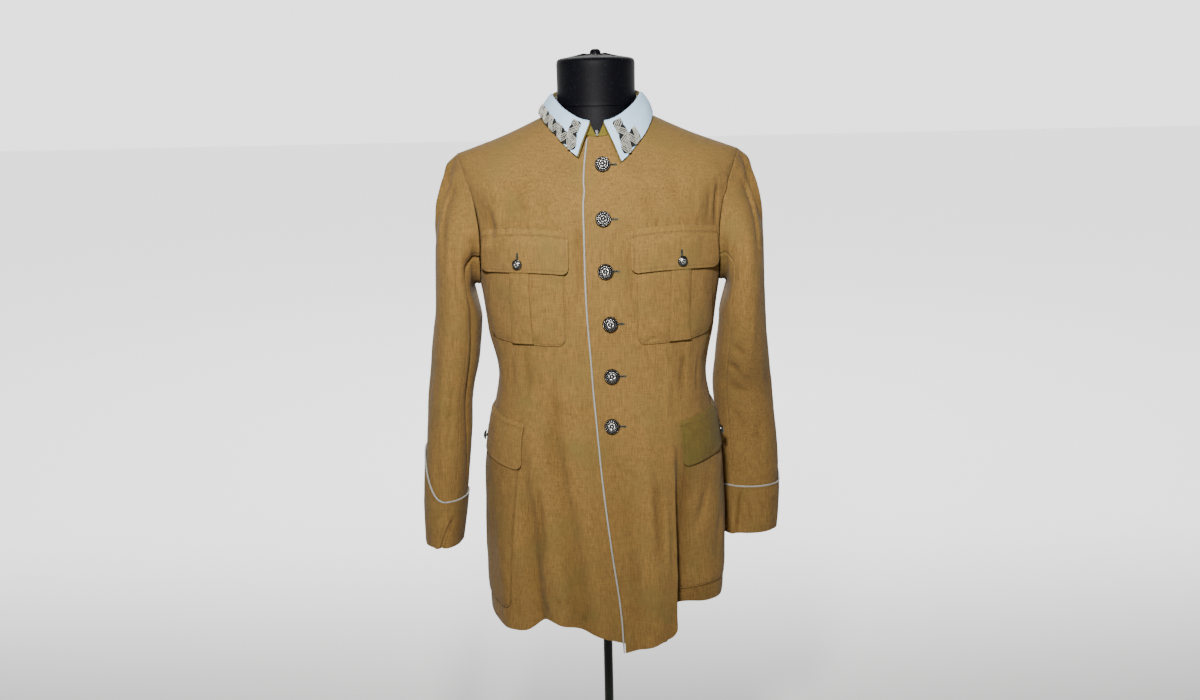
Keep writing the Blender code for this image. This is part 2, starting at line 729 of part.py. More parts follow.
def fall_point(share, run):
    """Point of the fall's outer face.

    share goes round the neck and run goes from the top of the stand (0)
    over the roll and down to the lower edge (1).
    """
    top, out = stand_point(share, np.ones(np.shape(share)))
    start = top + np.array((0.0, 0.0, SEAM * 2.0))
    tip_angle = collar_line(share, FALL_EDGE[0, 0], FALL_EDGE[-1, 0])
    level = np.interp(tip_angle, FALL_EDGE[:, 0], FALL_EDGE[:, 1])
    low = body_point(tip_angle, level) + surface_normal(tip_angle, level) * FALL_LIFT
    up = np.array((0.0, 0.0, 1.0))
    crest = start + out * ROLL * 0.9 + up * ROLL
    outer = start + out * ROLL * 2.0 + up * ROLL * 0.1
    middle = 0.5 * (outer + low) + (out + up * 0.4) * 0.0020
    knots = np.array((0.0, 0.08, 0.18, 0.58, 1.0))
    rows = (start, crest, outer, middle, low)
    total = 0.0
    slopes = []
    for index in range(len(rows)):
        before = max(index - 1, 0)
        after = min(index + 1, len(rows) - 1)
        slopes.append((rows[after] - rows[before]) / (knots[after] - knots[before]))
    for index in range(len(rows) - 1):
        span = knots[index + 1] - knots[index]
        part = (run - knots[index]) / span
        inside = (part >= 0.0) & ((part < 1.0) | (index == len(rows) - 2)) & (part <= 1.0)
        part = part[..., None]
        piece = rows[index] * (1.0 + 2.0 * part) * (1.0 - part) ** 2
        piece = piece + slopes[index] * span * part * (1.0 - part) ** 2
        piece = piece + rows[index + 1] * part ** 2 * (3.0 - 2.0 * part)
        piece = piece - slopes[index + 1] * span * part ** 2 * (1.0 - part)
        total = total + piece * inside[..., None]
    return total


def fall_inward(share, run):
    """Inward direction of the fall, from close points of its surface."""
    turn = 0.002
    down = 0.01
    across = fall_point(np.clip(share + turn, 0.0, 1.0), run)
    across = across - fall_point(np.clip(share - turn, 0.0, 1.0), run)
    along = fall_point(share, np.clip(run + down, 0.0, 1.0))
    along = along - fall_point(share, np.clip(run - down, 0.0, 1.0))
    return unit(np.cross(along, across))


def fall_piece(name, shares, runs, lift, thickness, look, group):
    """Piece of cloth on the fall: its points moved out by lift."""
    share, run = np.meshgrid(shares, runs)
    inward = fall_inward(share, run)
    grid = fall_point(share, run) - inward * lift
    return shade(wall(name, grid, inward, look, group, thickness=thickness))


def collar_fall(cloth, patch, braid, group):
    """Fall of the collar, its coloured patches and the braid on them."""
    shares = np.arange(COLLAR_COLUMNS + 1) / COLLAR_COLUMNS
    runs = np.array((0.0, 0.06, 0.12, 0.18, 0.38, 0.68, 1.0))
    fall_piece("collar_fall", shares, runs, 0.0, CLOTH, cloth, group)
    lift = THIN_CLOTH + SEAM * 3.0
    shares = shares[:PATCH_COLUMNS + 1].copy()
    shares[0] = 0.004
    patch_runs = np.array((0.18, 0.38, 0.68, 0.985))
    for side, word in ((-1, "right"), (1, "left")):
        across = shares if side < 0 else 1.0 - shares[::-1]
        fall_piece("collar_patch_" + word, across, patch_runs, lift, THIN_CLOTH, patch, group)
        collar_braid("collar_braid_" + word, side, lift * 2.0, braid, group)


def collar_braid(name, side, lift, look, group):
    """Braid band down the front edge of the fall and along its lower edge."""
    front = BRAID_FRONT
    inner = front + BRAID_SHARE
    back = BRAID_BACK[side]
    outer_line = [(front, place) for place in np.linspace(0.22, 0.95, 7)]
    inner_line = [(inner, place) for place in np.linspace(0.22, 0.72, 7)]
    outer_line += [(place, 0.95) for place in np.linspace(inner, back, 7)]
    inner_line += [(place, 0.70) for place in np.linspace(inner + 0.006, back, 7)]
    outer_line = np.array(outer_line)
    inner_line = np.array(inner_line)
    places = np.array([outer_line + (inner_line - outer_line) * part for part in (0.0, 0.5, 1.0)])
    share = places[..., 0] if side < 0 else 1.0 - places[..., 0]
    run = places[..., 1]
    inward = fall_inward(share, run)
    grid = fall_point(share, run) - inward * lift
    if side < 0:
        grid = grid[::-1]
        inward = inward[::-1]
    return shade(wall(name, grid, inward, look, group, thickness=THIN_CLOTH))


def body_patch(name, angle, level, lift, look, group, thickness=CLOTH):
    """Cloth lying on a panel: the panel's points moved out by lift."""
    normal = surface_normal(angle, level)
    grid = body_point(angle, level) + normal * lift
    return shade(wall(name, grid, -normal, look, group, thickness=thickness))


def corner_cut(share, radius_share):
    """Height share lost at the two ends of a rounded lower edge."""
    near = np.minimum(share, 1.0 - share)
    past = np.clip(1.0 - near / radius_share, 0.0, 1.0)
    return 1.0 - np.sqrt(1.0 - past ** 2)


def breast_pocket(side, word, cloth, group):
    """Breast pocket with its box pleat and its flap."""
    across = np.array((0.0, 0.025, 0.07, 0.2, 0.35, 0.5, 0.65, 0.8, 0.93, 0.975, 1.0))
    order = slice(None) if side < 0 else slice(None, None, -1)
    down = np.linspace(0.0, 1.0, 6)
    inner = side * BREAST_INNER
    outer = side * BREAST_OUTER
    x_row = (inner + (outer - inner) * across)[order]
    foot = (BREAST_FOOT + 0.018 * corner_cut(across, 0.12) + 0.008 * across ** 3)[order]
    x, _ = np.meshgrid(x_row, down)
    height = BREAST_TOP + (foot[None, :] - BREAST_TOP) * down[:, None]
    angle, level = place_on_front(x, height)
    body_patch("breast_pocket_" + word, angle, level, CLOTH + REST_GAP, cloth, group)

    pleat_row = np.linspace(side * PLEAT_INNER, side * PLEAT_OUTER, 4)[order]
    x, height = np.meshgrid(pleat_row, np.linspace(BREAST_TOP - 0.004, BREAST_FOOT + 0.003, 6))
    angle, level = place_on_front(x, height)
    lift = CLOTH + REST_GAP + THIN_CLOTH + REST_GAP
    body_patch("breast_pleat_" + word, angle, level, lift, cloth, group, THIN_CLOTH)

    inner = side * (BREAST_INNER - BREAST_FLAP_LAP)
    outer = side * (BREAST_OUTER + BREAST_FLAP_LAP)
    x_row = (inner + (outer - inner) * across)[order]
    bow = 4.0 * across * (1.0 - across)
    top = (BREAST_FLAP_TOP + 0.006 * bow)[order]
    foot = (BREAST_FLAP_FOOT + 0.004 * bow + 0.012 * corner_cut(across, 0.09))[order]
    down = np.linspace(0.0, 1.0, 4)
    x, _ = np.meshgrid(x_row, down)
    height = top[None, :] + (foot - top)[None, :] * down[:, None]
    angle, level = place_on_front(x, height)
    lift = 2.0 * (CLOTH + REST_GAP) + THIN_CLOTH + REST_GAP
    body_patch("breast_flap_" + word, angle, level, lift, cloth, group)
    return lift


def hip_pocket(side, word, cloth, group):
    """Hip pocket with its slanted flap, wrapped round the side seam.

    Its columns lie on those of the panels below it, with more near its
    rounded corners.
    """
    front_top, front_foot = HIP_FRONT[side]
    steps = [1.5, 4.0] + [front_top - line for line in SIDE_LINES[side] if line < front_top - 6.0][::-1]
    steps += [front_top + line for line in BACK_LINES if 0.0 < line < -HIP_BACK - 4.0]
    width = front_top - HIP_BACK
    across = np.array([0.0] + steps + [width - 4.0, width - 1.5, width]) / width
    order = slice(None) if side < 0 else slice(None, None, -1)
    share, run = np.meshgrid(across[order], np.linspace(0.0, 1.0, 8))
    foot = HIP_FOOT[side] + 0.016 * corner_cut(share, 0.07)
    height = HIP_TOP + HIP_FLAP_RISE * share * 0.6 + (foot - HIP_TOP) * run
    away = front_top - width * share + (front_foot - front_top) * run * (1.0 - smooth(share / 0.4))
    angle = away if side > 0 else RIGHT_SIDE - away
    body_patch("hip_pocket_" + word, angle, level_at(angle, height), CLOTH + REST_GAP, cloth, group)

    share, run = np.meshgrid(across[order], np.linspace(0.0, 1.0, 4))
    top = HIP_FLAP_FRONT + HIP_FLAP_RISE * share
    foot = top - HIP_FLAP_HEIGHT + 0.014 * corner_cut(share, 0.07) + 0.010 * share
    height = top + (foot - top) * run
    away = front_top - width * share + HIP_FLAP_LAP * (1.0 - 2.0 * share)
    angle = away if side > 0 else RIGHT_SIDE - away
    lift = 2.0 * (CLOTH + REST_GAP)
    body_patch("hip_flap_" + word, angle, level_at(angle, height), lift, cloth, group)
    return lift


def button(name, radius, point, normal, look, group, segments):
    """Domed button with a rim and a short shank, turned on its own axis."""
    rim = radius * 0.12
    dome = radius * 0.42
    shank = BUTTON_SHANK
    profile = [(0.0, shank + rim + dome)]
    for step in (1, 2):
        turn = step / 3.0 * math.pi / 2.0
        profile.append((radius * 0.86 * math.sin(turn), shank + rim + dome * math.cos(turn)))
    profile += [(radius * 0.86, shank + rim), (radius, shank + rim * 0.6), (radius * 0.9, shank),
                (radius * 0.3, shank * 0.9), (radius * 0.3, BUTTON_FOOT), (0.0, BUTTON_FOOT)]
    mesh = bpy.data.meshes.new(name)
    mesh.from_pydata([(r, 0.0, z) for r, z in profile],
                     [(i, i + 1) for i in range(len(profile) - 1)], [])
    mesh.materials.append(look)
    made = bpy.data.objects.new(name, mesh)
    group.objects.link(made)
    turned = made.modifiers.new("turn", "SCREW")
    turned.angle = 2.0 * math.pi
    turned.steps = segments
    turned.render_steps = segments
    turned.use_merge_vertices = True
    turned.merge_threshold = 0.00002
    turned.use_smooth_shade = True
    from_up = np.array((0.0, 0.0, 1.0))
    axis = np.cross(from_up, normal)
    length = float(np.linalg.norm(axis))
    turn = math.atan2(length, float(normal[2]))
    made.rotation_mode = "AXIS_ANGLE"
    made.rotation_axis_angle = (turn, *(axis / length))
    made.location = point
    return made


def buttons(breast_lift, hip_lift, metal, group):
    """Six front buttons, two on the breast flaps, two on the hip flaps."""
    for index, (height, x) in enumerate(FRONT_BUTTONS):
        angle, level = place_on_front(x, height)
        point = body_point(angle, level)
        normal = surface_normal(angle, level)
        button("button_front_%d" % (index + 1), BIG_BUTTON, point, normal, metal, group,
               BIG_BUTTON_SIDES)
    for side, word in ((-1, "right"), (1, "left")):
        angle, level = place_on_front(side * BREAST_BUTTON_X, BREAST_BUTTON_HEIGHT)
        normal = surface_normal(angle, level)
        point = body_point(angle, level) + normal * (breast_lift - BUTTON_SINK)
        button("button_breast_" + word, SMALL_BUTTON, point, normal, metal, group,
               SMALL_BUTTON_SIDES)
        angle = np.asarray(HIP_BUTTON_ANGLE if side > 0 else RIGHT_SIDE - HIP_BUTTON_ANGLE)
        level = level_at(angle, HIP_BUTTON_HEIGHT)
        normal = surface_normal(angle, level)
        point = body_point(angle, level) + normal * (hip_lift - BUTTON_SINK)
        button("button_hip_" + word, SMALL_BUTTON, point, normal, metal, group,
               SMALL_BUTTON_SIDES)


def loft(name, rings, look, group):
    """Closed solid through rings from the top down, with fan caps."""
    rings = np.asarray(rings)
    rows, columns = rings.shape[:2]
    points = rings.reshape(-1, 3).tolist()
    faces = grid_faces(rows, columns, True)
    points.append(rings[0].mean(axis=0))
    points.append(rings[-1].mean(axis=0))
    top = rows * columns
    for column in range(columns):
        after = (column + 1) % columns
        faces.append((top, after, column))
        last = (rows - 1) * columns
        faces.append((top + 1, last + column, last + after))
    return shade(make_object(name, points, faces, look, group))


def torso_ring(level):
    """Ring of the dress form: the body's ring, drawn in by the jacket's ease."""
    angle = np.arange(FORM_COLUMNS) * (360.0 / FORM_COLUMNS)
    levels = np.full(FORM_COLUMNS, level)
    base = body_point(angle, levels)
    normal = surface_normal(angle, levels)
    near = CLOTH + REST_GAP + TORSO_ROOM
    ease = near + TORSO_EASE * (1.0 - smooth((level - 8.6) / 1.2))
    side = np.abs(np.cos(np.radians(angle)))
    arm = TORSO_ARM_EASE * smooth((side - 0.75) / 0.2) * smooth((level - 5.0) / 2.0)
    arm = arm * (1.0 - smooth((level - 9.0) / 0.6))
    skirt = np.maximum(fold_out(angle, levels), 0.0)
    skirt = skirt + TORSO_SKIRT_EASE * smooth((3.2 - level) / 2.0)
    lap = TORSO_LAP_EASE * np.exp(-((angle - FRONT) / TORSO_LAP_SPREAD) ** 6)
    return base - normal * (ease + arm + skirt + lap)[:, None]


def dress_form(black, dark_metal, group):
    """Limbless torso and neck on a pole with a round base."""
    turn = np.arange(FORM_COLUMNS) * (2.0 * math.pi / FORM_COLUMNS)
    circle = np.stack((np.cos(turn), -np.sin(turn), np.zeros(FORM_COLUMNS)), axis=-1)
    rings = []
    for height, wide, deep, rise in TORSO_TOP_ROWS:
        ring = circle * np.array((wide, deep, 0.0))
        ring[:, 2] = height + rise * circle[:, 1]
        rings.append(ring)
    for level in TORSO_LEVELS:
        rings.append(torso_ring(level))
    flat = rings[-1].copy()
    flat[:, 2] = TORSO_BOTTOM
    rings[-1] = flat
    loft("form_torso", rings, black, group)

    neck = []
    for height, radius in NECK_ROWS:
        ring = circle * radius
        ring[:, 2] = height
        neck.append(ring)
    loft("form_neck", neck, black, group)

    bpy.ops.mesh.primitive_uv_sphere_add(segments=12, ring_count=6, radius=KNOB_RADIUS)
    knob = bpy.context.object
    knob.name = "form_knob"
    knob.scale = (1.0, 1.0, KNOB_FLATNESS)
    knob.location = (0.0, 0.0, NECK_ROWS[0][0] + SEAM + KNOB_RADIUS * KNOB_FLATNESS)
    finish_primitive(knob, black, group)

    cylinder("form_socket", SOCKET_RADIUS, TORSO_BOTTOM - SEAM - SOCKET_HEIGHT,
             SOCKET_HEIGHT, dark_metal, group, FORM_COLUMNS)
    foot = BASE_HEIGHT + SEAM
    cylinder("pole", POLE_RADIUS, foot,
             TORSO_BOTTOM - SEAM * 2.0 - SOCKET_HEIGHT - foot, dark_metal, group, POLE_SIDES)
    base = cylinder("base", BASE_RADIUS, 0.0, BASE_HEIGHT, dark_metal, group, BASE_SIDES)
    edge = base.modifiers.new("edge", "BEVEL")
    edge.width = BASE_EDGE
    edge.segments = 1
    edge.limit_method = "ANGLE"


def finish_primitive(made, look, group):
    """Move a primitive to the jacket's collection, apply scale, give a look."""
    for other in list(made.users_collection):
        other.objects.unlink(made)
    group.objects.link(made)
    for vertex in made.data.vertices:
        vertex.co = [value * scale for value, scale in zip(vertex.co, made.scale)]
    made.scale = (1.0, 1.0, 1.0)
    made.data.materials.append(look)
    shade(made)


def cylinder(name, radius, bottom, height, look, group, sides):
    """Upright round bar."""
    bpy.ops.mesh.primitive_cylinder_add(vertices=sides, radius=radius, depth=height,
                                        location=(0.0, 0.0, bottom + height * 0.5))
    made = bpy.context.object
    made.name = name
    finish_primitive(made, look, group)
    return made


def collar_hook(metal, group):
    """Hook and eye that close the stand, one flat plate on its meeting ends."""
    point, _ = stand_point(np.array((0.0, 1.0)), np.array((HOOK_RISE, HOOK_RISE)))
    middle = point.mean(axis=0) + np.array((0.0, -HOOK_PROUD, 0.0))
    bpy.ops.mesh.primitive_cube_add(size=1.0, location=middle)
    made = bpy.context.object
    made.name = "collar_hook"
    made.scale = HOOK_SIZE
    finish_primitive(made, metal, group)


def main():
    """Build every piece."""
    for old in list(bpy.data.objects):
        bpy.data.objects.remove(old, do_unlink=True)
    group = bpy.data.collections.new("officer_jacket")
    bpy.context.scene.collection.children.link(group)
    wool = material("khaki_wool", (0.33, 0.22, 0.09), 0.95)
    blue = material("pale_blue_cloth", (0.46, 0.60, 0.78), 0.9)
    silver_braid = material("silver_braid", (0.45, 0.45, 0.42), 0.6, 0.3)
    piping = material("grey_piping", (0.55, 0.55, 0.52), 0.8)
    metal = material("aged_silver", (0.55, 0.55, 0.55), 0.35, 1.0)
    black = material("black_jersey", (0.01, 0.01, 0.015), 0.8)
    dark_metal = material("dark_green_paint", (0.03, 0.035, 0.02), 0.4)

    body_panels(wool, group)
    for side, word in ((-1, "right"), (1, "left")):
        sleeve("sleeve_" + word, side, wool, group)
        cuff("cuff_" + word, side, wool, group)
        cuff_piping("cuff_piping_" + word, side, piping, group)
        breast_lift = breast_pocket(side, word, wool, group)
        hip_lift = hip_pocket(side, word, wool, group)
    front_piping(piping, group)
    collar_stand(wool, group)
    collar_fall(wool, blue, silver_braid, group)
    collar_hook(metal, group)
    buttons(breast_lift, hip_lift, metal, group)
    dress_form(black, dark_metal, group)


main()
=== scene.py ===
"""Looks of a military officer jacket on a limbless dress form.

Metres, +Z up. The front faces -Y and the wearer's left is +X.

The body of the jacket is one surface, read at an angle round the body and a
level up the body. Creases push it in and out, and every piece that lies on
it is made from the same points. Cloth is a thin wall: an outer grid of
points and the same grid moved in by the cloth's thickness.
"""
import math

import bpy
import numpy as np
from mathutils import Matrix


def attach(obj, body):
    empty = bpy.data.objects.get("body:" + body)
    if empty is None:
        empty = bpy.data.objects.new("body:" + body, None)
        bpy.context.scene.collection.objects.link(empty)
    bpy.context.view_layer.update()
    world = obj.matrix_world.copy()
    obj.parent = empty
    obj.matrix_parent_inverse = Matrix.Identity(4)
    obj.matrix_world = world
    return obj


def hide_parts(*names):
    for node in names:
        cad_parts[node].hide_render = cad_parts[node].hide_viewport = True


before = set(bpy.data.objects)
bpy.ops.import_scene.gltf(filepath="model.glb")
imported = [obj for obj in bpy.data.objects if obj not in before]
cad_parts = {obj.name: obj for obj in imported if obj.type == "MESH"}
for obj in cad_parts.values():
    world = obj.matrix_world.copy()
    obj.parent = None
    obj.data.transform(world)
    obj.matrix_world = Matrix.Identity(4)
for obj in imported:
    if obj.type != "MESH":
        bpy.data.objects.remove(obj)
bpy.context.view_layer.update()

SIDES = ((-1, "right"), (1, "left"))

CLOTH = 0.0018
THIN_CLOTH = 0.0010
SEAM = 0.0003
LAYER = 0.0033
REST_GAP = 0.0011

POLE_RADIUS = 0.008
BASE_RADIUS = 0.190
BASE_HEIGHT = 0.012
SOCKET_HEIGHT = 0.050
TORSO_BOTTOM = 0.760
NECK_SEAM_HEIGHT = 1.475
NECK_TOP = 1.552

# Angles run from the wearer's left side (0) by the front (90) to the
# right side (180) and the middle of the back (270).
FRONT = 90.0
RIGHT_SIDE = 180.0
BACK = 270.0
# Metres along the cloth for each degree, as a flat measure of its width.
DEGREE = 0.0033

# Levels up the body, one for each row of the table.
HEM, HIP, ARMPIT, SHOULDER, NECK = 0.0, 2.0, 6.0, 9.0, 11.0

# level, height at the side, half width, front depth, back depth,
# front drop, back drop, squareness of the ring
BODY_ROWS = np.array([
    (0.0, 0.570, 0.2010, 0.170, 0.154, 0.000, 0.000, 2.30),
    (1.0, 0.720, 0.2040, 0.160, 0.149, 0.000, 0.000, 2.30),
    (2.0, 0.860, 0.2010, 0.146, 0.138, 0.000, 0.000, 2.30),
    (3.0, 0.950, 0.1900, 0.133, 0.124, 0.000, 0.000, 2.30),
    (4.0, 1.035, 0.1760, 0.123, 0.110, 0.000, 0.000, 2.25),
    (5.0, 1.110, 0.1890, 0.127, 0.112, 0.000, 0.000, 2.25),
    (6.0, 1.185, 0.1990, 0.132, 0.121, 0.000, 0.000, 2.30),
    (7.0, 1.270, 0.2120, 0.132, 0.128, 0.010, 0.005, 2.35),
    (8.0, 1.345, 0.2230, 0.125, 0.128, 0.034, 0.020, 2.35),
    (9.0, 1.402, 0.2310, 0.115, 0.118, 0.060, 0.035, 2.35),
])
YOKE_ROWS = np.array([
    (9.0, 1.402, 0.2310, 0.115, 0.118, 0.060, 0.035, 2.35),
    (10.0, 1.431, 0.1520, 0.101, 0.096, 0.049, 0.016, 2.20),
    (11.0, 1.466, 0.0750, 0.088, 0.075, 0.038, -0.008, 2.00),
])

# Where the panels are cut at the hem: angle, height
HEM_LEFT = np.array([
    (-90.0, 0.638), (-45.0, 0.634), (0.0, 0.646), (30.0, 0.646), (49.0, 0.649),
    (54.0, 0.645), (59.0, 0.615), (66.0, 0.606), (84.0, 0.588), (110.0, 0.588),
])
HEM_RIGHT = np.array([
    (60.0, 0.604), (86.0, 0.606), (93.0, 0.617), (108.0, 0.637), (118.0, 0.642),
    (128.0, 0.622), (140.0, 0.618), (165.0, 0.624), (180.0, 0.632), (225.0, 0.636),
    (270.0, 0.638),
])

# Height, x of the edge of the front that laps over.
FRONT_EDGE = np.array([
    (0.56, 0.0300), (0.66, 0.0245), (0.76, 0.0115), (0.87, -0.0010),
    (0.98, -0.0100), (1.06, -0.0150), (1.15, -0.0205), (1.28, -0.0225),
    (1.36, -0.0215), (1.43, -0.0140),
])
LAP = 0.070
LAP_STEP = 0.034

# Folds that hang from the waist or the chest: angle at the top, angle at the
# foot, level of the top, level of the foot, half width in degrees, depth out.
FOLDS = (
    (121.0, 98.0, 4.6, 0.0, 6.0, -0.014),
    (110.0, 107.0, 3.0, 0.0, 5.0, 0.006),
    (132.0, 119.0, 3.0, 0.0, 5.0, -0.013),
    (146.0, 140.0, 2.4, 0.0, 8.0, 0.006),
    (74.0, 70.0, 4.2, 0.0, 7.0, 0.008),
    (80.0, 78.0, 3.6, 0.0, 4.0, -0.007),
    (92.0, 86.0, 4.4, 0.6, 6.0, -0.006),
    (228.0, 222.0, 4.2, 0.0, 10.0, -0.012),
    (245.0, 243.0, 4.0, 0.0, 8.0, 0.010),
    (262.0, 260.0, 3.6, 0.0, 7.0, -0.009),
    (282.0, 284.0, 3.9, 0.0, 8.0, 0.009),
    (300.0, 303.0, 4.2, 0.0, 9.0, -0.012),
    (322.0, 326.0, 3.8, 0.0, 9.0, 0.008),
    (36.0, 38.0, 8.6, 6.2, 10.0, -0.004),
    (146.0, 143.0, 8.6, 5.8, 11.0, -0.004),
    (214.0, 218.0, 8.6, 5.6, 10.0, -0.006),
    (326.0, 322.0, 8.6, 5.6, 10.0, -0.006),
)
VALLEY_ANGLE = 56.0
VALLEY_STEP = 2.3
VALLEY_REACH = 40.0
VALLEY_TOP = 3.1
VALLEY_GROWTH = 2.6
VALLEY_DEPTH = 0.040

HALF_SEAM = 0.045
ARMHOLE_FRONT = 26.0
ARMHOLE_BACK = 22.0
ARMHOLE_MEAN = 0.5 * (ARMHOLE_FRONT + ARMHOLE_BACK)
ARMHOLE_LEAN = 0.5 * (ARMHOLE_FRONT - ARMHOLE_BACK)
SLEEVE_START = 0.003
SLEEVE_GAP = 0.0006

# Creases of the fronts: x and height of one end, x and height of the
# other, bow, half width, depth out.
FRONT_CREASES = (
    (-0.036, 1.345, -0.034, 1.120, 0.003, 0.0065, -0.0024),
    (-0.050, 1.330, -0.047, 1.160, 0.002, 0.0080, 0.0012),
    (-0.178, 1.335, -0.172, 1.245, 0.002, 0.0070, -0.0024),
    (-0.162, 1.330, -0.160, 1.260, -0.002, 0.0070, 0.0012),
    (-0.118, 1.372, -0.112, 1.290, 0.003, 0.0100, -0.0012),
    (-0.088, 1.352, -0.084, 1.286, 0.001, 0.0070, -0.0010),
    (-0.151, 1.297, -0.149, 1.272, 0.000, 0.0026, -0.0010),
    (-0.139, 1.300, -0.137, 1.274, 0.000, 0.0022, -0.0012),
    (-0.126, 1.298, -0.126, 1.276, 0.000, 0.0026, -0.0009),
    (-0.115, 1.303, -0.114, 1.272, 0.001, 0.0024, -0.0012),
    (-0.102, 1.299, -0.100, 1.277, 0.000, 0.0028, -0.0008),
    (-0.084, 1.300, -0.085, 1.276, 0.000, 0.0024, -0.0008),
    (-0.128, 1.100, -0.126, 1.020, 0.001, 0.0014, -0.0011),
    (-0.128, 1.100, -0.125, 0.990, 0.002, 0.0090, -0.0016),
    (-0.150, 1.090, -0.148, 1.010, 0.002, 0.0060, -0.0012),
    (-0.100, 1.090, -0.094, 0.985, -0.003, 0.0080, 0.0014),
    (-0.080, 1.075, -0.078, 0.960, -0.003, 0.0070, -0.0013),
    (-0.062, 0.960, -0.040, 0.790, -0.003, 0.0080, 0.0016),
    (-0.112, 0.900, -0.106, 0.720, 0.003, 0.0070, -0.0022),
    (-0.130, 0.860, -0.128, 0.700, 0.002, 0.0060, 0.0016),
    (-0.088, 0.690, -0.076, 0.660, 0.001, 0.0026, -0.0026),
    (-0.047, 0.658, -0.036, 0.634, 0.001, 0.0026, -0.0018),
    (-0.108, 0.672, -0.097, 0.652, 0.001, 0.0024, -0.0020),
    (-0.117, 0.668, -0.113, 0.646, 0.000, 0.0026, -0.0016),
    (-0.069, 0.668, -0.060, 0.646, 0.001, 0.0030, 0.0014),
    (-0.029, 0.800, -0.026, 0.630, 0.000, 0.0012, 0.0005),
    (-0.150, 0.655, -0.146, 0.634, 0.001, 0.0030, -0.0012),
    (0.193, 1.372, 0.190, 1.268, -0.002, 0.0060, -0.0030),
    (0.177, 1.360, 0.176, 1.285, 0.002, 0.0060, -0.0012),
    (0.158, 1.350, 0.160, 1.290, 0.002, 0.0080, 0.0010),
    (0.205, 1.372, 0.204, 1.300, 0.002, 0.0050, 0.0016),
    (0.100, 1.385, 0.112, 1.300, -0.003, 0.0110, -0.0012),
    (0.070, 1.345, 0.082, 1.290, 0.002, 0.0080, -0.0008),
    (0.078, 1.302, 0.078, 1.278, 0.000, 0.0026, -0.0008),
    (0.093, 1.304, 0.092, 1.279, 0.000, 0.0024, -0.0009),
    (0.109, 1.303, 0.109, 1.277, 0.000, 0.0026, -0.0007),
    (0.131, 1.303, 0.130, 1.280, 0.000, 0.0026, -0.0009),
    (0.160, 1.300, 0.159, 1.276, 0.000, 0.0026, -0.0008),
    (0.044, 1.270, 0.047, 1.150, 0.002, 0.0060, -0.0016),
    (0.030, 1.232, 0.052, 1.228, 0.002, 0.0040, -0.0006),
    (0.032, 1.148, 0.055, 1.140, 0.001, 0.0040, -0.0007),
    (0.138, 1.100, 0.134, 1.010, 0.001, 0.0014, -0.0011),
    (0.138, 1.100, 0.131, 0.985, 0.002, 0.0090, -0.0016),
    (0.062, 1.098, 0.100, 1.108, 0.003, 0.0034, -0.0010),
    (0.066, 1.086, 0.096, 1.090, -0.002, 0.0036, -0.0007),
    (0.044, 1.060, 0.078, 1.046, 0.002, 0.0050, -0.0009),
    (0.040, 0.980, 0.066, 0.966, 0.002, 0.0050, -0.0008),
    (0.112, 1.060, 0.104, 0.960, -0.003, 0.0080, 0.0014),
    (0.160, 1.080, 0.154, 1.000, 0.003, 0.0060, -0.0012),
    (0.077, 0.920, 0.084, 0.720, 0.004, 0.0080, -0.0026),
    (0.060, 0.860, 0.064, 0.640, -0.004, 0.0090, 0.0014),
    (0.042, 0.800, 0.050, 0.630, 0.003, 0.0060, -0.0014),
    (0.098, 0.880, 0.098, 0.660, 0.003, 0.0050, 0.0016),
    (0.048, 0.668, 0.050, 0.618, 0.001, 0.0024, -0.0008),
)
# How much deeper the fronts' creases are made than their table says.
FRONT_CREASE_GAIN = 1.5
# The same for the sides and the back, with angles in place of x.
ROUND_CREASES = (
    (196.0, 1.040, 228.0, 1.062, 0.004, 0.0050, -0.0018),
    (200.0, 1.010, 222.0, 1.020, -0.003, 0.0060, 0.0014),
    (338.0, 1.058, 312.0, 1.070, 0.003, 0.0050, -0.0018),
    (342.0, 1.020, 318.0, 1.034, -0.003, 0.0060, 0.0014),
    (250.0, 1.075, 268.0, 1.052, 0.003, 0.0070, -0.0016),
    (272.0, 1.050, 292.0, 1.078, 0.004, 0.0070, -0.0014),
    (252.0, 1.335, 268.0, 1.352, 0.004, 0.0080, -0.0014),
    (272.0, 1.350, 290.0, 1.330, 0.004, 0.0080, -0.0014),
    (212.0, 1.330, 222.0, 1.210, 0.006, 0.0070, -0.0024),
    (328.0, 1.335, 319.0, 1.205, -0.006, 0.0070, -0.0024),
    (206.0, 1.180, 214.0, 1.080, 0.004, 0.0060, -0.0016),
    (334.0, 1.170, 327.0, 1.075, -0.004, 0.0060, -0.0018),
    (236.0, 1.160, 240.0, 1.060, 0.003, 0.0080, -0.0012),
    (304.0, 1.150, 300.0, 1.050, 0.003, 0.0080, -0.0012),
    (190.0, 0.900, 196.0, 0.760, 0.006, 0.0090, -0.0020),
    (350.0, 0.910, 343.0, 0.740, 0.006, 0.0090, -0.0020),
    (235.0, 0.760, 231.0, 0.655, 0.004, 0.0080, -0.0020),
    (256.0, 0.740, 255.0, 0.650, 0.003, 0.0070, 0.0014),
    (292.0, 0.740, 294.0, 0.650, 0.003, 0.0070, 0.0014),
    (312.0, 0.780, 314.0, 0.655, 0.004, 0.0080, -0.0020),
    (30.0, 0.880, 42.0, 0.760, 0.008, 0.0110, -0.0036),
    (18.0, 0.820, 26.0, 0.700, 0.005, 0.0090, -0.0020),
    (160.0, 0.905, 158.0, 0.730, 0.001, 0.0022, 0.0012),
    (170.0, 0.860, 168.0, 0.700, 0.004, 0.0080, -0.0018),
    (12.0, 1.150, 20.0, 1.060, 0.004, 0.0070, -0.0018),
    (168.0, 1.160, 160.0, 1.070, 0.004, 0.0070, -0.0018),
)

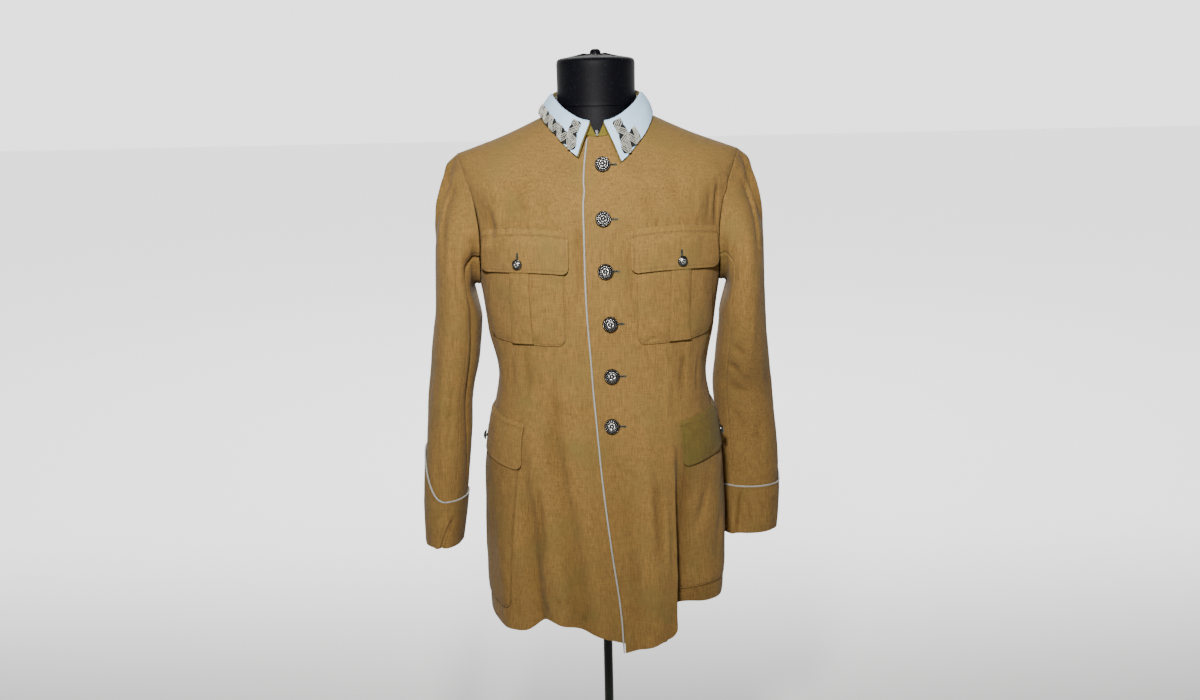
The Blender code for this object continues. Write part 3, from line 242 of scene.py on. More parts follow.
# Sleeves down the arm: height, outward place of the middle, depth place of
# the middle, half width, half depth
SLEEVE_RIGHT_ROWS = np.array([
    (1.260, 0.2330, 0.000, 0.0400, 0.0780),
    (1.130, 0.2400, 0.000, 0.0400, 0.0740),
    (1.060, 0.2485, 0.000, 0.0405, 0.0700),
    (1.000, 0.2585, 0.000, 0.0370, 0.0680),
    (0.930, 0.2640, -0.002, 0.0380, 0.0640),
    (0.860, 0.2700, -0.004, 0.0370, 0.0620),
    (0.800, 0.2750, -0.005, 0.0350, 0.0600),
    (0.735, 0.2800, -0.006, 0.0300, 0.0590),
])
SLEEVE_LEFT_ROWS = np.array([
    (1.260, 0.2330, 0.002, 0.0400, 0.0780),
    (1.130, 0.2390, 0.006, 0.0390, 0.0740),
    (1.060, 0.2400, 0.022, 0.0450, 0.0640),
    (1.000, 0.2430, 0.044, 0.0510, 0.0540),
    (0.930, 0.2500, 0.061, 0.0530, 0.0480),
    (0.860, 0.2560, 0.071, 0.0530, 0.0460),
    (0.800, 0.2580, 0.076, 0.0520, 0.0440),
    (0.722, 0.2560, 0.080, 0.0510, 0.0430),
])
CAP_LEAD = 1.25
# Heights that space the rows of a sleeve below its cap, and of a panel below the
# armpit.
SLEEVE_LOOPS = 100
PANEL_LOOPS = 106
# Columns of a body panel, and those across the valley of the left front.
PANEL_COLUMNS = 104
VALLEY_COLUMNS = 52
# How deep a seam's edge rolls in, and over what width.
SEAM_ROLL = 0.0009
SEAM_ROLL_WIDTH = 0.0017
# Rings of a sleeve below its cap: height of the middle, rise of its outer side
SLEEVE_RINGS = np.array([
    (0.735, 0.0), (1.020, 0.0), (1.075, 0.012), (1.130, 0.034), (1.185, 0.060),
])
SLEEVE_DEGREE = 0.00105
# Seams of a sleeve: turn at the front and at the back.
SLEEVE_SEAMS = {-1: (124.0, 318.0), 1: (128.0, 308.0)}
# Creases of the sleeves: turn and height of one end, of the other, bow, half
# width, depth out.
SLEEVE_CREASES = {
    -1: (
        (118.0, 1.480, 184.0, 0.700, 0.012, 0.0021, -0.0080),
        (118.0, 1.480, 184.0, 0.700, 0.012, 0.0085, -0.0040),
        (60.0, 1.350, 66.0, 1.180, 0.004, 0.0090, -0.0022),
        (92.0, 1.300, 100.0, 1.120, 0.004, 0.0080, -0.0024),
        (74.0, 1.150, 84.0, 0.900, 0.005, 0.0090, 0.0022),
        (100.0, 1.080, 96.0, 0.900, -0.004, 0.0080, -0.0022),
        (104.0, 1.010, 60.0, 0.990, 0.005, 0.0060, -0.0016),
        (112.0, 0.985, 76.0, 0.965, -0.004, 0.0050, -0.0014),
        (70.0, 0.930, 82.0, 0.830, 0.004, 0.0080, -0.0018),
        (30.0, 1.120, 36.0, 0.940, 0.004, 0.0100, -0.0016),
        (330.0, 1.100, 350.0, 1.060, 0.006, 0.0060, -0.0024),
        (322.0, 1.060, 352.0, 1.020, 0.006, 0.0060, -0.0026),
        (300.0, 1.220, 312.0, 1.130, 0.006, 0.0080, -0.0026),
        (285.0, 1.080, 262.0, 1.040, 0.005, 0.0070, -0.0022),
        (290.0, 0.960, 300.0, 0.860, 0.004, 0.0080, -0.0018),
        (240.0, 1.150, 250.0, 1.020, 0.005, 0.0080, -0.0020),
    ),
    1: (
        (48.0, 1.340, 60.0, 1.190, 0.004, 0.0080, -0.0022),
        (96.0, 1.290, 104.0, 1.150, 0.004, 0.0080, -0.0024),
        (72.0, 1.170, 88.0, 1.030, 0.006, 0.0090, 0.0022),
        (128.0, 1.080, 84.0, 1.045, 0.006, 0.0060, -0.0034),
        (136.0, 1.050, 92.0, 1.010, 0.006, 0.0060, -0.0036),
        (126.0, 1.012, 78.0, 0.985, -0.005, 0.0060, -0.0028),
        (110.0, 1.030, 80.0, 1.018, 0.004, 0.0050, 0.0018),
        (120.0, 0.960, 96.0, 0.900, 0.005, 0.0060, -0.0022),
        (76.0, 0.960, 72.0, 0.850, 0.004, 0.0090, -0.0018),
        (40.0, 1.100, 34.0, 0.930, 0.004, 0.0100, -0.0016),
        (310.0, 1.230, 322.0, 1.140, 0.006, 0.0080, -0.0026),
        (300.0, 1.110, 330.0, 1.080, 0.005, 0.0070, -0.0024),
        (262.0, 1.100, 240.0, 1.050, 0.005, 0.0070, -0.0024),
        (280.0, 0.960, 290.0, 0.860, 0.004, 0.0080, -0.0018),
    ),
}
CUFF_HEIGHT = 0.087
CUFF_PEAK = {-1: 0.084, 1: 0.070}
CUFF_PEAK_WIDTH = {-1: 112.0, 1: 58.0}
CUFF_PEAK_POWER = {-1: 1.5, 1: 1.0}
CUFF_SEAM_ANGLE = {-1: 352.0, 1: 308.0}
CUFF_TILT = {-1: 0.0080, 1: 0.0}
# Creases of the cuffs: turn, share down of one end, of the other, depth.
CUFF_CREASES = {
    -1: ((116.0, 0.42, 92.0, 1.02, 4.5, -0.0100), (88.0, 0.40, 78.0, 1.02, 6.0, 0.0050),
         (108.0, 0.60, 102.0, 1.02, 4.0, -0.0022), (44.0, 0.50, 50.0, 1.02, 5.0, -0.0016),
         (10.0, 0.30, 20.0, 1.02, 6.0, -0.0014), (200.0, 0.40, 210.0, 1.02, 6.0, -0.0020),
         (260.0, 0.30, 250.0, 1.02, 6.0, -0.0016)),
    1: ((112.0, 0.05, 118.0, 1.02, 3.5, -0.0036), (98.0, 0.25, 88.0, 0.75, 3.0, -0.0022),
        (76.0, 0.30, 56.0, 0.55, 3.5, -0.0018), (124.0, 0.10, 126.0, 1.02, 4.0, 0.0020),
        (40.0, 0.35, 34.0, 1.02, 6.0, -0.0014), (190.0, 0.40, 200.0, 1.02, 6.0, -0.0018),
        (270.0, 0.30, 260.0, 1.02, 6.0, -0.0016)),
}
PIPING_RADIUS = 0.0014

STAND_FRONT = 0.017
STAND_BACK = 0.028
STAND_LEAN = 0.006
STAND_MEET = 0.0012
STAND_OPEN = 0.0105
ROLL = 0.0042
FALL_LIFT = 0.0034
# Lower edge of the fall, from the right front corner round to the left:
# angle, level
FALL_EDGE = np.array([
    (101.3, 10.24), (110.0, 10.42), (124.0, 10.62), (145.0, 10.75), (180.0, 10.81),
    (225.0, 10.62), (270.0, 10.45), (315.0, 10.62), (360.0, 10.81), (404.0, 10.60),
    (424.5, 10.35), (438.4, 10.02),
])
BRAID_BACK = {-1: 0.225, 1: 0.075}
BRAID_WIDTH = {"low": 0.0190, "front": 0.0160}
BRAID_BUNDLE = 0.0118
BRAID_STRANDS = 4
PATCH_SHARE = 0.25
# Flat width and depth of the fall, for its weave.
FALL_WIDTH = 0.46
FALL_DEPTH = 0.05

BREAST_INNER = 0.056
BREAST_OUTER = 0.182
BREAST_TOP = 1.272
BREAST_FOOT = 1.098
BREAST_FLAP_TOP = 1.282
BREAST_FLAP_FOOT = 1.214
BREAST_FLAP_LAP = 0.007
BREAST_FLAP_HIGH = 0.0071
PLEAT_INNER = 0.110
PLEAT_OUTER = 0.143
HIP_FRONT = {-1: (48.0, 42.0), 1: (50.0, 50.0)}
HIP_BACK = -32.0
HIP_TOP = 0.955
HIP_FOOT = {-1: 0.652, 1: 0.672}
HIP_FLAP_FRONT = 0.966
HIP_FLAP_RISE = 0.024
HIP_FLAP_HEIGHT = 0.078
HIP_FLAP_LAP = 1.2
HIP_FLAP_HIGH = 0.0054

# Buttons: height, x
FRONT_BUTTONS = ((1.3845, 0.0075), (1.3010, 0.0070), (1.2190, 0.0085),
                 (1.1340, 0.0145), (1.0480, 0.0150), (0.9660, 0.0145))
BIG_BUTTON = 0.0125
SMALL_BUTTON = 0.0085
# Sides and shank of a big and of a small button.
BIG_BUTTON_MAKE = (96, 0.0022)
SMALL_BUTTON_MAKE = (72, 0.0018)
HOLE_POINTS = 44
BREAST_BUTTON_X = 0.128
BREAST_BUTTON_HEIGHT = 1.2315
HIP_BUTTON_ANGLE = 4.0
HIP_BUTTON_HEIGHT = 0.926
# From a small button up to the middle of its hole.
HOLE_RISE = 0.0125


def stand_in(node):
    """Hide the solid whose place a piece takes."""
    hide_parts(node)


def bell(away, width):
    """Bell of height 1: e to the power of minus (away over width) squared."""
    return np.exp(-(away / width) ** 2)


def turn_gap(turn, middle):
    """Difference of two angles in degrees, between -180 and 180."""
    return np.mod(turn - middle + 180.0, 360.0) - 180.0


def circle_turns(count):
    """Even turns round a circle, in radians."""
    return np.arange(count) * (2.0 * math.pi / count)


def run_along(path):
    """Distance from the first point of a line to each of its points."""
    steps = np.linalg.norm(np.diff(path, axis=0), axis=1)
    return np.concatenate(([0.0], np.cumsum(steps)))


def smooth(value):
    """Ease from 0 to 1 with level ends: 3 t squared less 2 t cubed."""
    held = np.clip(value, 0.0, 1.0)
    return held * held * (3.0 - 2.0 * held)


def eased_curve(first, lead, last, arrive, part):
    """Cubic from first to last that leaves along lead and comes in along arrive."""
    start = first * (1.0 + 2.0 * part) * (1.0 - part) ** 2
    start = start + lead * part * (1.0 - part) ** 2
    return start + last * part ** 2 * (3.0 - 2.0 * part) - arrive * part ** 2 * (1.0 - part)


def through(places, values, where):
    """Smooth curve through the rows of a table (cubic, no jumps in slope)."""
    slope = np.gradient(values, places)
    where = np.clip(where, places[0], places[-1])
    index = np.clip(np.searchsorted(places, where, side="right") - 1, 0, len(places) - 2)
    span = places[index + 1] - places[index]
    part = (where - places[index]) / span
    return eased_curve(values[index], slope[index] * span, values[index + 1],
                       slope[index + 1] * span, part)


def section(column, level):
    """One column of the body tables at any level."""
    lower = through(BODY_ROWS[:, 0], BODY_ROWS[:, column], level)
    upper = through(YOKE_ROWS[:, 0], YOKE_ROWS[:, column], level)
    return np.where(level > SHOULDER, upper, lower)


def unit(vectors):
    """Vectors of length one."""
    return vectors / np.linalg.norm(vectors, axis=-1, keepdims=True)


def ring_point(angle, level):
    """Point of the plain body: a squared ellipse at each level."""
    turn = np.radians(angle)
    power = 2.0 / section(7, level)
    across = np.sign(np.cos(turn)) * np.abs(np.cos(turn)) ** power
    along = np.sign(np.sin(turn)) * np.abs(np.sin(turn)) ** power
    front = along > 0.0
    depth = np.where(front, section(3, level), section(4, level))
    drop = np.where(front, section(5, level), section(6, level))
    height = section(1, level) - drop * np.sin(turn) ** 2
    return np.stack((section(2, level) * across, -depth * along, height), axis=-1)


def fold_out(angle, level):
    """How far the hanging folds push the cloth out: bells across the angle."""
    angle = np.mod(angle, 360.0)
    total = np.zeros(np.broadcast(angle, level).shape)
    for top_angle, foot_angle, top, foot, width, depth in FOLDS:
        down = np.clip((top - level) / (top - foot), 0.0, 1.0)
        middle = top_angle + (foot_angle - top_angle) * down
        gap = turn_gap(angle, middle)
        grown = smooth(down * 1.6)
        if foot > 1.0:
            grown = grown * smooth((1.0 - down) * 3.0)
        total = total + depth * grown * bell(gap, width)
    down = smooth((VALLEY_TOP - level) / VALLEY_GROWTH)
    past = VALLEY_ANGLE - angle
    step = smooth(0.5 + past / (2.0 * VALLEY_STEP))
    back = 1.0 - smooth((past - VALLEY_STEP) / VALLEY_REACH)
    return total - VALLEY_DEPTH * down * step * back


def body_point(angle, level):
    """Point of the jacket's plain outer face at an angle and a level.

    The ring points are averaged over nearby levels, more at the front and
    back than at the side seam, then the folds push them out.
    """
    angle, level = np.broadcast_arrays(np.asarray(angle, float), np.asarray(level, float))
    side = np.abs(np.sin(np.radians(angle)))
    room = np.minimum(level, NECK - level)
    reach = np.minimum(0.75 * smooth(side / 0.55), room)
    point = 0.0
    for shift, weight in ((-1.0, 1.0), (-0.5, 2.0), (0.0, 2.0), (0.5, 2.0), (1.0, 1.0)):
        point = point + ring_point(angle, level + shift * reach) * weight / 8.0
    turn = np.radians(angle)
    depth = np.where(np.sin(turn) > 0.0, section(3, level), section(4, level))
    out = unit(np.stack((np.cos(turn) / section(2, level), -np.sin(turn) / depth,
                         np.zeros(level.shape)), axis=-1))
    return point + out * fold_out(angle, level)[..., None]


def surface_normal(angle, level):
    """Outward direction of the jacket's surface."""
    low = np.clip(level - 0.02, HEM, NECK)
    high = np.clip(level + 0.02, HEM, NECK)
    round_way = body_point(angle + 0.4, level) - body_point(angle - 0.4, level)
    up_way = body_point(angle, high) - body_point(angle, low)
    return unit(np.cross(up_way, round_way))


def level_at(angle, height):
    """Level where the surface has a given height, found by halving."""
    angle, height = np.broadcast_arrays(np.asarray(angle, float), np.asarray(height, float))
    low = np.zeros(angle.shape)
    high = np.full(angle.shape, NECK)
    for _ in range(17):
        middle = 0.5 * (low + high)
        above = body_point(angle, middle)[..., 2] > height
        high = np.where(above, middle, high)
        low = np.where(above, low, middle)
    return 0.5 * (low + high)


def angle_for(x, level):
    """Front angle where the ring of a level has a given x."""
    share = np.clip(x / section(2, level), -1.0, 1.0)
    cosine = np.sign(share) * np.abs(share) ** (section(7, level) / 2.0)
    return np.degrees(np.arccos(cosine))


def place_on_front(x, height):
    """Angle and level of the front's point with a given x and height."""
    x, height = np.broadcast_arrays(np.asarray(x, float), np.asarray(height, float))
    angle = np.where(x > 0.0, 70.0, 110.0)
    level = level_at(angle, height)
    for _ in range(3):
        angle = angle_for(x, level)
        level = level_at(angle, height)
    return angle, level


def edge_angle(level, shift=0.0):
    """Angle of the front edge at each level, shifted sideways in metres."""
    angle = np.full(np.shape(level), FRONT)
    for _ in range(4):
        height = body_point(angle, level)[..., 2]
        x = through(FRONT_EDGE[:, 0], FRONT_EDGE[:, 1], height) + shift
        angle = angle_for(x, level)
    return angle


def crease_out(across, up, table):
    """How far creases push the cloth out.

    Each crease is a bell across a bowed line between two points, which
    fades to nothing at its two ends.
    """
    total = np.zeros(np.broadcast(across, up).shape)
    for across_0, up_0, across_1, up_1, bow, width, depth in table:
        run_across = across_1 - across_0
        run_up = up_1 - up_0
        length = math.hypot(run_across, run_up)
        part = ((across - across_0) * run_across + (up - up_0) * run_up) / length ** 2
        off = ((across - across_0) * run_up - (up - up_0) * run_across) / length
        off = off - bow * 4.0 * part * (1.0 - part)
        fade = smooth(2.2 * np.minimum(part, 1.0 - part))
        total = total + depth * fade * bell(off, width)
    return total


def rumple(across, up, size, seed):
    """Uneven swelling between -1 and 1: eased steps between random heights."""
    heights = np.random.default_rng(seed).uniform(-1.0, 1.0, (64, 64))
    place_across = across / size + 7.0
    place_up = up / size + 3.0
    column = np.floor(place_across).astype(int)
    row = np.floor(place_up).astype(int)
    ease_across = smooth(place_across - column)
    ease_up = smooth(place_up - row)
    low = heights[row % 64, column % 64] * (1.0 - ease_across)
    low = low + heights[row % 64, (column + 1) % 64] * ease_across
    high = heights[(row + 1) % 64, column % 64] * (1.0 - ease_across)
    high = high + heights[(row + 1) % 64, (column + 1) % 64] * ease_across
    return low * (1.0 - ease_up) + high * ease_up


def flat_creases():
    """All creases of the body, with their ends as widths along the cloth."""
    front = np.array(FRONT_CREASES)
    front[:, 6] *= FRONT_CREASE_GAIN
    first, _ = place_on_front(front[:, 0], front[:, 1])
    last, _ = place_on_front(front[:, 2], front[:, 3])
    front[:, 0] = first * DEGREE
    front[:, 2] = last * DEGREE
    back = np.array(ROUND_CREASES)
    back[:, (0, 2)] *= DEGREE
    return np.concatenate((front, back))


BODY_CREASES = flat_creases()


def cloth_out(angle, height):
    """How far creases and soft swellings push the body's cloth out."""
    angle = np.mod(angle, 360.0)
    across = angle * DEGREE
    out = crease_out(across, height, BODY_CREASES)
    soft = rumple(across * 1.6, height, 0.055, 5) * 0.0010
    soft = soft + rumple(across * 1.3, height, 0.023, 8) * 0.0004
    near_neck = smooth((1.44 - height) / 0.06)
    return (out + soft) * near_neck


def dressed(angle, level, lift=0.0):
    """Point and outward direction of cloth lying lift above the body's cloth."""
    point = body_point(angle, level)
    normal = surface_normal(angle, level)
    out = cloth_out(angle, point[..., 2]) + lift
    return point + normal * out[..., None], normal


def linear(colour):
    """Linear red, green, blue and 1 from a hex colour as the eye sees it."""
    parts = [int(colour[i:i + 2], 16) / 255.0 for i in (1, 3, 5)]
    parts = [p / 12.92 if p <= 0.04045 else ((p + 0.055) / 1.055) ** 2.4 for p in parts]
    return (*parts, 1.0)


def add(tree, kind, inputs=None, **settings):
    """A node with its settings; an input is a value or another node's output."""
    made = tree.nodes.new(kind)
    for key, value in settings.items():
        setattr(made, key, value)
    for key, value in (inputs or {}).items():
        if isinstance(value, bpy.types.NodeSocket):
            tree.links.new(value, made.inputs[key])
        else:
            made.inputs[key].default_value = value
    return made


def new_material(name, roughness, **values):
    """A material with its shader, whose even values are set on the sockets."""
    made = bpy.data.materials.new(name)
    made.use_nodes = True
    shader = made.node_tree.nodes["Principled BSDF"]
    shader.inputs["Roughness"].default_value = roughness
    for key, value in values.items():
        shader.inputs[key.replace("_", " ")].default_value = value
    return made, made.node_tree, shader


def noise(tree, place, size, detail=2.0, stretch=(1.0, 1.0, 1.0)):
    """Noise whose grains are size metres, stretched along each axis."""
    scaled = add(tree, "ShaderNodeMapping", {"Vector": place, "Scale": [1.0 / s for s in stretch]})
    made = add(tree, "ShaderNodeTexNoise", {"Vector": scaled.outputs[0], "Scale": 1.0 / size,
                                            "Detail": detail, "Roughness": 0.6})
    return made.outputs["Fac"]


def blend_colour(tree, share, first, second, kind="MIX"):
    """Mix of two colours by a share."""
    made = add(tree, "ShaderNodeMix", {"Factor": share}, data_type="RGBA", blend_type=kind)
    for index, value in ((6, first), (7, second)):
        if isinstance(value, bpy.types.NodeSocket):
            tree.links.new(value, made.inputs[index])
        else:
            made.inputs[index].default_value = value
    return made.outputs[2]


def spread(tree, value, low, high):
    """The value stretched so that low becomes 0 and high becomes 1."""
    made = add(tree, "ShaderNodeMapRange", {"Value": value, "From Min": low, "From Max": high})
    return made.outputs[0]


def bumps(tree, shader, *layers):
    """Bumps laid one on another, the lowest first: height, strength, distance."""
    below = {}
    for height, strength, distance in layers:
        made = add(tree, "ShaderNodeBump", {"Height": height, "Strength": strength,
                                            "Distance": distance, **below})
        below = {"Normal": made.outputs[0]}
    tree.links.new(below["Normal"], shader.inputs["Normal"])


def wool(name, light, dark, green, slub=0.5):
    """Wool cloth: heathered yarn, upright slubs, faint twill, fuzz and wear.

    The eye sees a matt napped cloth with single pale and dark fibres and slow
    uneven fading, and painted shade that makes it darker and browner in its hollows.
    """
    made, tree, shader = new_material(name, 0.95, Sheen_Weight=0.04, Sheen_Roughness=0.5,
                                      Specular_IOR_Level=0.18)
    place = add(tree, "ShaderNodeTexCoord").outputs["Object"]
    fibre = noise(tree, place, 0.0012, 3.0)
    slubs = noise(tree, place, 0.0016, 2.0, (1.0, 1.0, 14.0))
    cross = noise(tree, place, 0.0016, 2.0, (9.0, 9.0, 1.0))
    patchy = noise(tree, place, 0.060, 3.0)
    fading = noise(tree, place, 0.22, 2.0)
    colour = blend_colour(tree, spread(tree, fibre, 0.32, 0.68), linear(dark), linear(light))
    streak = blend_colour(tree, spread(tree, slubs, 0.35, 0.65), linear(dark), linear(light))
    weft = blend_colour(tree, spread(tree, cross, 0.35, 0.65), linear(dark), linear(light))
    colour = blend_colour(tree, slub, colour, streak)
    colour = blend_colour(tree, 0.22, colour, weft)
    colour = blend_colour(tree, spread(tree, patchy, 0.48, 0.95), colour, linear(green))
    # Painted shade: where the hollow mask marks creases, folds, seam rolls and stitch grooves, the colour is
    # multiplied darker and browner.
    hollow = add(tree, "ShaderNodeAttribute", attribute_name="hollow").outputs["Fac"]
    painted_shade = blend_colour(tree, spread(tree, hollow, 0.0, 1.0), (1.0, 1.0, 1.0, 1.0),
                         (0.58, 0.54, 0.47, 1.0))
    colour = blend_colour(tree, 1.0, colour, painted_shade, "MULTIPLY")
    worn = blend_colour(tree, spread(tree, fading, 0.3, 0.8), (0.94, 0.93, 0.92, 1.0),
                        (1.06, 1.05, 1.02, 1.0))
    colour = blend_colour(tree, 1.0, colour, worn, "MULTIPLY")
    tree.links.new(colour, shader.inputs["Base Color"])
    chart = add(tree, "ShaderNodeUVMap", uv_map="cloth").outputs[0]
    twill = add(tree, "ShaderNodeTexWave", {"Vector": chart, "Scale": 150.0, "Distortion": 1.2,
                                            "Detail": 1.0, "Detail Scale": 2.0},
                wave_type="BANDS", bands_direction="DIAGONAL").outputs["Fac"]
    bumps(tree, shader, (twill, 0.12, 0.00022), (slubs, 0.35, 0.0006), (fibre, 0.45, 0.0005))
    return made


def felt(name, light, dark, grain, roughness=0.9, sheen=0.25, bump=0.0003):
    """Even cloth or yarn: fine grains of two near colours and a soft nap."""
    made, tree, shader = new_material(name, roughness, Sheen_Weight=sheen, Sheen_Roughness=0.5,
                                      Specular_IOR_Level=0.2)
    place = add(tree, "ShaderNodeTexCoord").outputs["Object"]
    fine = noise(tree, place, grain, 3.0)
    slow = noise(tree, place, grain * 24.0, 2.0)
    colour = blend_colour(tree, spread(tree, fine, 0.3, 0.7), linear(dark), linear(light))
    soil = blend_colour(tree, spread(tree, slow, 0.4, 0.8), (1.0, 1.0, 1.0, 1.0), (0.86, 0.87, 0.88, 1.0))
    colour = blend_colour(tree, 1.0, colour, soil, "MULTIPLY")
    tree.links.new(colour, shader.inputs["Base Color"])
    bumps(tree, shader, (fine, 0.5, bump))
    return made


def aged_silver(name):
    """Struck white metal: bright on its high parts, black in its hollows."""
    made, tree, shader = new_material(name, 0.34, Metallic=1.0)
    place = add(tree, "ShaderNodeTexCoord").outputs["Object"]
    hollow = add(tree, "ShaderNodeAttribute", attribute_name="hollow").outputs["Fac"]
    stain = noise(tree, place, 0.0030, 4.0)
    colour = blend_colour(tree, spread(tree, stain, 0.35, 0.75), linear("#D6D6D4"), linear("#6E6D6B"))
    colour = blend_colour(tree, spread(tree, hollow, 0.05, 0.70), colour, linear("#0C0D0F"))
    tree.links.new(colour, shader.inputs["Base Color"])
    rough = add(tree, "ShaderNodeMapRange", {"Value": stain, "To Min": 0.20, "To Max": 0.48})
    tree.links.new(rough.outputs[0], shader.inputs["Roughness"])
    bumps(tree, shader, (stain, 0.25, 0.0002))
    return made


def jersey(name):
    """Stretched black knit: rows of fine stitches with a cold soft sheen."""
    made, tree, shader = new_material(name, 0.55, Sheen_Weight=0.01, Sheen_Roughness=0.4,
                                      Specular_IOR_Level=0.10)
    shader.inputs["Sheen Tint"].default_value = linear("#8088A8")
    place = add(tree, "ShaderNodeTexCoord").outputs["Object"]
    fine = noise(tree, place, 0.0011, 3.0)
    lint = noise(tree, place, 0.0040, 4.0)
    colour = blend_colour(tree, spread(tree, fine, 0.3, 0.7), linear("#030305"), linear("#0A0A12"))
    colour = blend_colour(tree, spread(tree, lint, 0.58, 0.80), colour, linear("#20202E"))
    tree.links.new(colour, shader.inputs["Base Color"])
    ribs = add(tree, "ShaderNodeTexWave", {"Vector": place, "Scale": 260.0, "Distortion": 1.0},
               wave_type="BANDS", bands_direction="Z").outputs["Fac"]
    bumps(tree, shader, (ribs, 0.15, 0.0002), (fine, 0.5, 0.0003))
    return made


def paint(name):
    """Satin dark green paint on metal: a slight ripple, dust and small scuffs."""
    made, tree, shader = new_material(name, 0.45, Coat_Weight=0.06, Coat_Roughness=0.25,
                                      Specular_IOR_Level=0.3)
    place = add(tree, "ShaderNodeTexCoord").outputs["Object"]
    ripple = noise(tree, place, 0.0030, 3.0)
    dust = noise(tree, place, 0.050, 4.0)
    colour = blend_colour(tree, spread(tree, dust, 0.45, 0.80), linear("#0A0F08"), linear("#171C13"))
    tree.links.new(colour, shader.inputs["Base Color"])
    rough = add(tree, "ShaderNodeMapRange", {"Value": dust, "To Min": 0.25, "To Max": 0.55})
    tree.links.new(rough.outputs[0], shader.inputs["Roughness"])
    bumps(tree, shader, (ripple, 0.2, 0.0002))
    return made


def quads(index, closed):
    """Corner indices of the quads between rows of an index grid."""
    left = index if closed else index[:, :-1]
    right = np.roll(index, -1, axis=1) if closed else index[:, 1:]
    return np.stack((left[:-1], right[:-1], right[1:], left[1:]), axis=-1).reshape(-1, 4)


def strip(first, second, closed):
    """Corner indices of the quads between two index lines."""
    one = first if closed else first[:-1]
    two = np.roll(first, -1) if closed else first[1:]
    three = np.roll(second, -1) if closed else second[1:]
    four = second if closed else second[:-1]
    return np.stack((two, one, four, three), axis=-1)


def make_mesh(name, points, faces, look, sharp=50.0, chart=None, hollow=None):
    """A smooth-shaded piece; chart gives each face corner its place in metres."""
    mesh = bpy.data.meshes.new(name)
    mesh.from_pydata(np.asarray(points, float).tolist(), [], np.asarray(faces).tolist())
    mesh.materials.append(look)
    if chart is not None:
        layer = mesh.uv_layers.new(name="cloth")
        layer.data.foreach_set("uv", np.asarray(chart, np.float32).ravel())
    # The hollow attribute is painted shade on the wool, in creases, seams and stitch grooves, and tarnish in
    # the hollows of the buttons.
    if hollow is not None:
        spot = mesh.attributes.new("hollow", "FLOAT", "POINT")
        spot.data.foreach_set("value", np.asarray(hollow, np.float32).ravel())
    mesh.shade_smooth()
    mesh.set_sharp_from_angle(angle=math.radians(sharp))
    made = bpy.data.objects.new(name, mesh)
    bpy.context.scene.collection.objects.link(made)
    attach(made, "root")
    return made


def cloth(name, outer, inward, look, chart, hollow, closed=False, thickness=CLOTH):
    """Thin wall of cloth with rounded rims.

    outer has rows by columns, and its faces point out when the columns run
    with the angle and the rows run down. chart has one more column than
    outer on a tube, so that the weave meets itself.
    """
    rows, columns = outer.shape[:2]
    rim = np.zeros((rows, columns))
    rim[0] = rim[-1] = 1.0
    if not closed:
        rim[:, 0] = rim[:, -1] = 1.0
    outer = outer + inward * (rim * thickness * 0.22)[..., None]
    inner = outer + inward * (thickness * (1.0 - 0.44 * rim))[..., None]
    index = np.arange(rows * columns).reshape(rows, columns)
    under = index + rows * columns
    parts = [quads(index, closed), quads(under, closed)[:, ::-1],
             strip(index[0], under[0], closed), strip(index[-1], under[-1], closed)[:, ::-1]]
    if not closed:
        parts += [strip(index[:, 0], under[:, 0], False),
                  strip(index[:, -1], under[:, -1], False)[:, ::-1]]
    flat = chart.reshape(-1, 2)
    width = chart.shape[1]
    place = np.arange(rows * width).reshape(rows, width)
    spots = [quads(place, False), quads(place, False)[:, ::-1], strip(place[0], place[0], False),
             strip(place[-1], place[-1], False)[:, ::-1]]
    if not closed:
        spots += [strip(place[:, 0], place[:, 0], False), strip(place[:, -1], place[:, -1], False)[:, ::-1]]
    points = np.concatenate((outer.reshape(-1, 3), inner.reshape(-1, 3)))
    dark = np.clip(np.concatenate((hollow.ravel(), hollow.ravel())), 0.0, 1.0)
    return make_mesh(name, points, np.concatenate(parts), look, 60.0,
                     flat[np.concatenate(spots)], dark)


def grid_inward(grid, closed):
    """Inward direction of a grid whose rows run down and columns round."""
    down = np.gradient(grid, axis=0)
    if closed:
        round_way = np.roll(grid, -1, axis=1) - np.roll(grid, 1, axis=1)
    else:
        round_way = np.gradient(grid, axis=1)
    return unit(np.cross(down, round_way))


def tube(name, path, radius, look, closed=False, sides=8):
    """Round cord along points: a ring of corners square to the run at each."""
    path = np.asarray(path, float)
    run = np.roll(path, -1, axis=0) - np.roll(path, 1, axis=0) if closed else np.gradient(path, axis=0)
    run = unit(run)
    side = unit(np.cross(run, np.array((0.31, 0.17, 0.94))))
    rise = np.cross(side, run)
    turn = circle_turns(sides)
    ring = side[:, None] * np.cos(turn)[None, :, None] + rise[:, None] * np.sin(turn)[None, :, None]
    width = np.full(len(path), radius)
    if not closed:
        width[0] = width[-1] = radius * 0.55
    grid = path[:, None] + ring * width[:, None, None]
    index = np.arange(len(path) * sides).reshape(len(path), sides)
    faces = quads(index, True)
    points = grid.reshape(-1, 3)
    if closed:
        faces = np.concatenate((faces, strip(index[-1], index[0], True)[:, (1, 0, 3, 2)]))
    else:
        points = np.concatenate((points, path[:1], path[-1:]))
        ends = len(points) - 2
        after = np.roll(index, -1, axis=1)
        first = np.stack((after[0], index[0], np.full(sides, ends)), axis=-1)
        last = np.stack((index[-1], after[-1], np.full(sides, ends + 1)), axis=-1)
        caps = np.concatenate((first, last))
        made = make_mesh(name, points, faces, look)
        return add_faces(made, points, faces, caps)
    return make_mesh(name, points, faces, look)


def add_faces(made, points, faces, caps):
    """The same piece again with end caps of three corners."""
    mesh = made.data
    mesh.clear_geometry()
    mesh.from_pydata(np.asarray(points, float).tolist(), [], faces.tolist() + caps.tolist())
    mesh.shade_smooth()
    return made


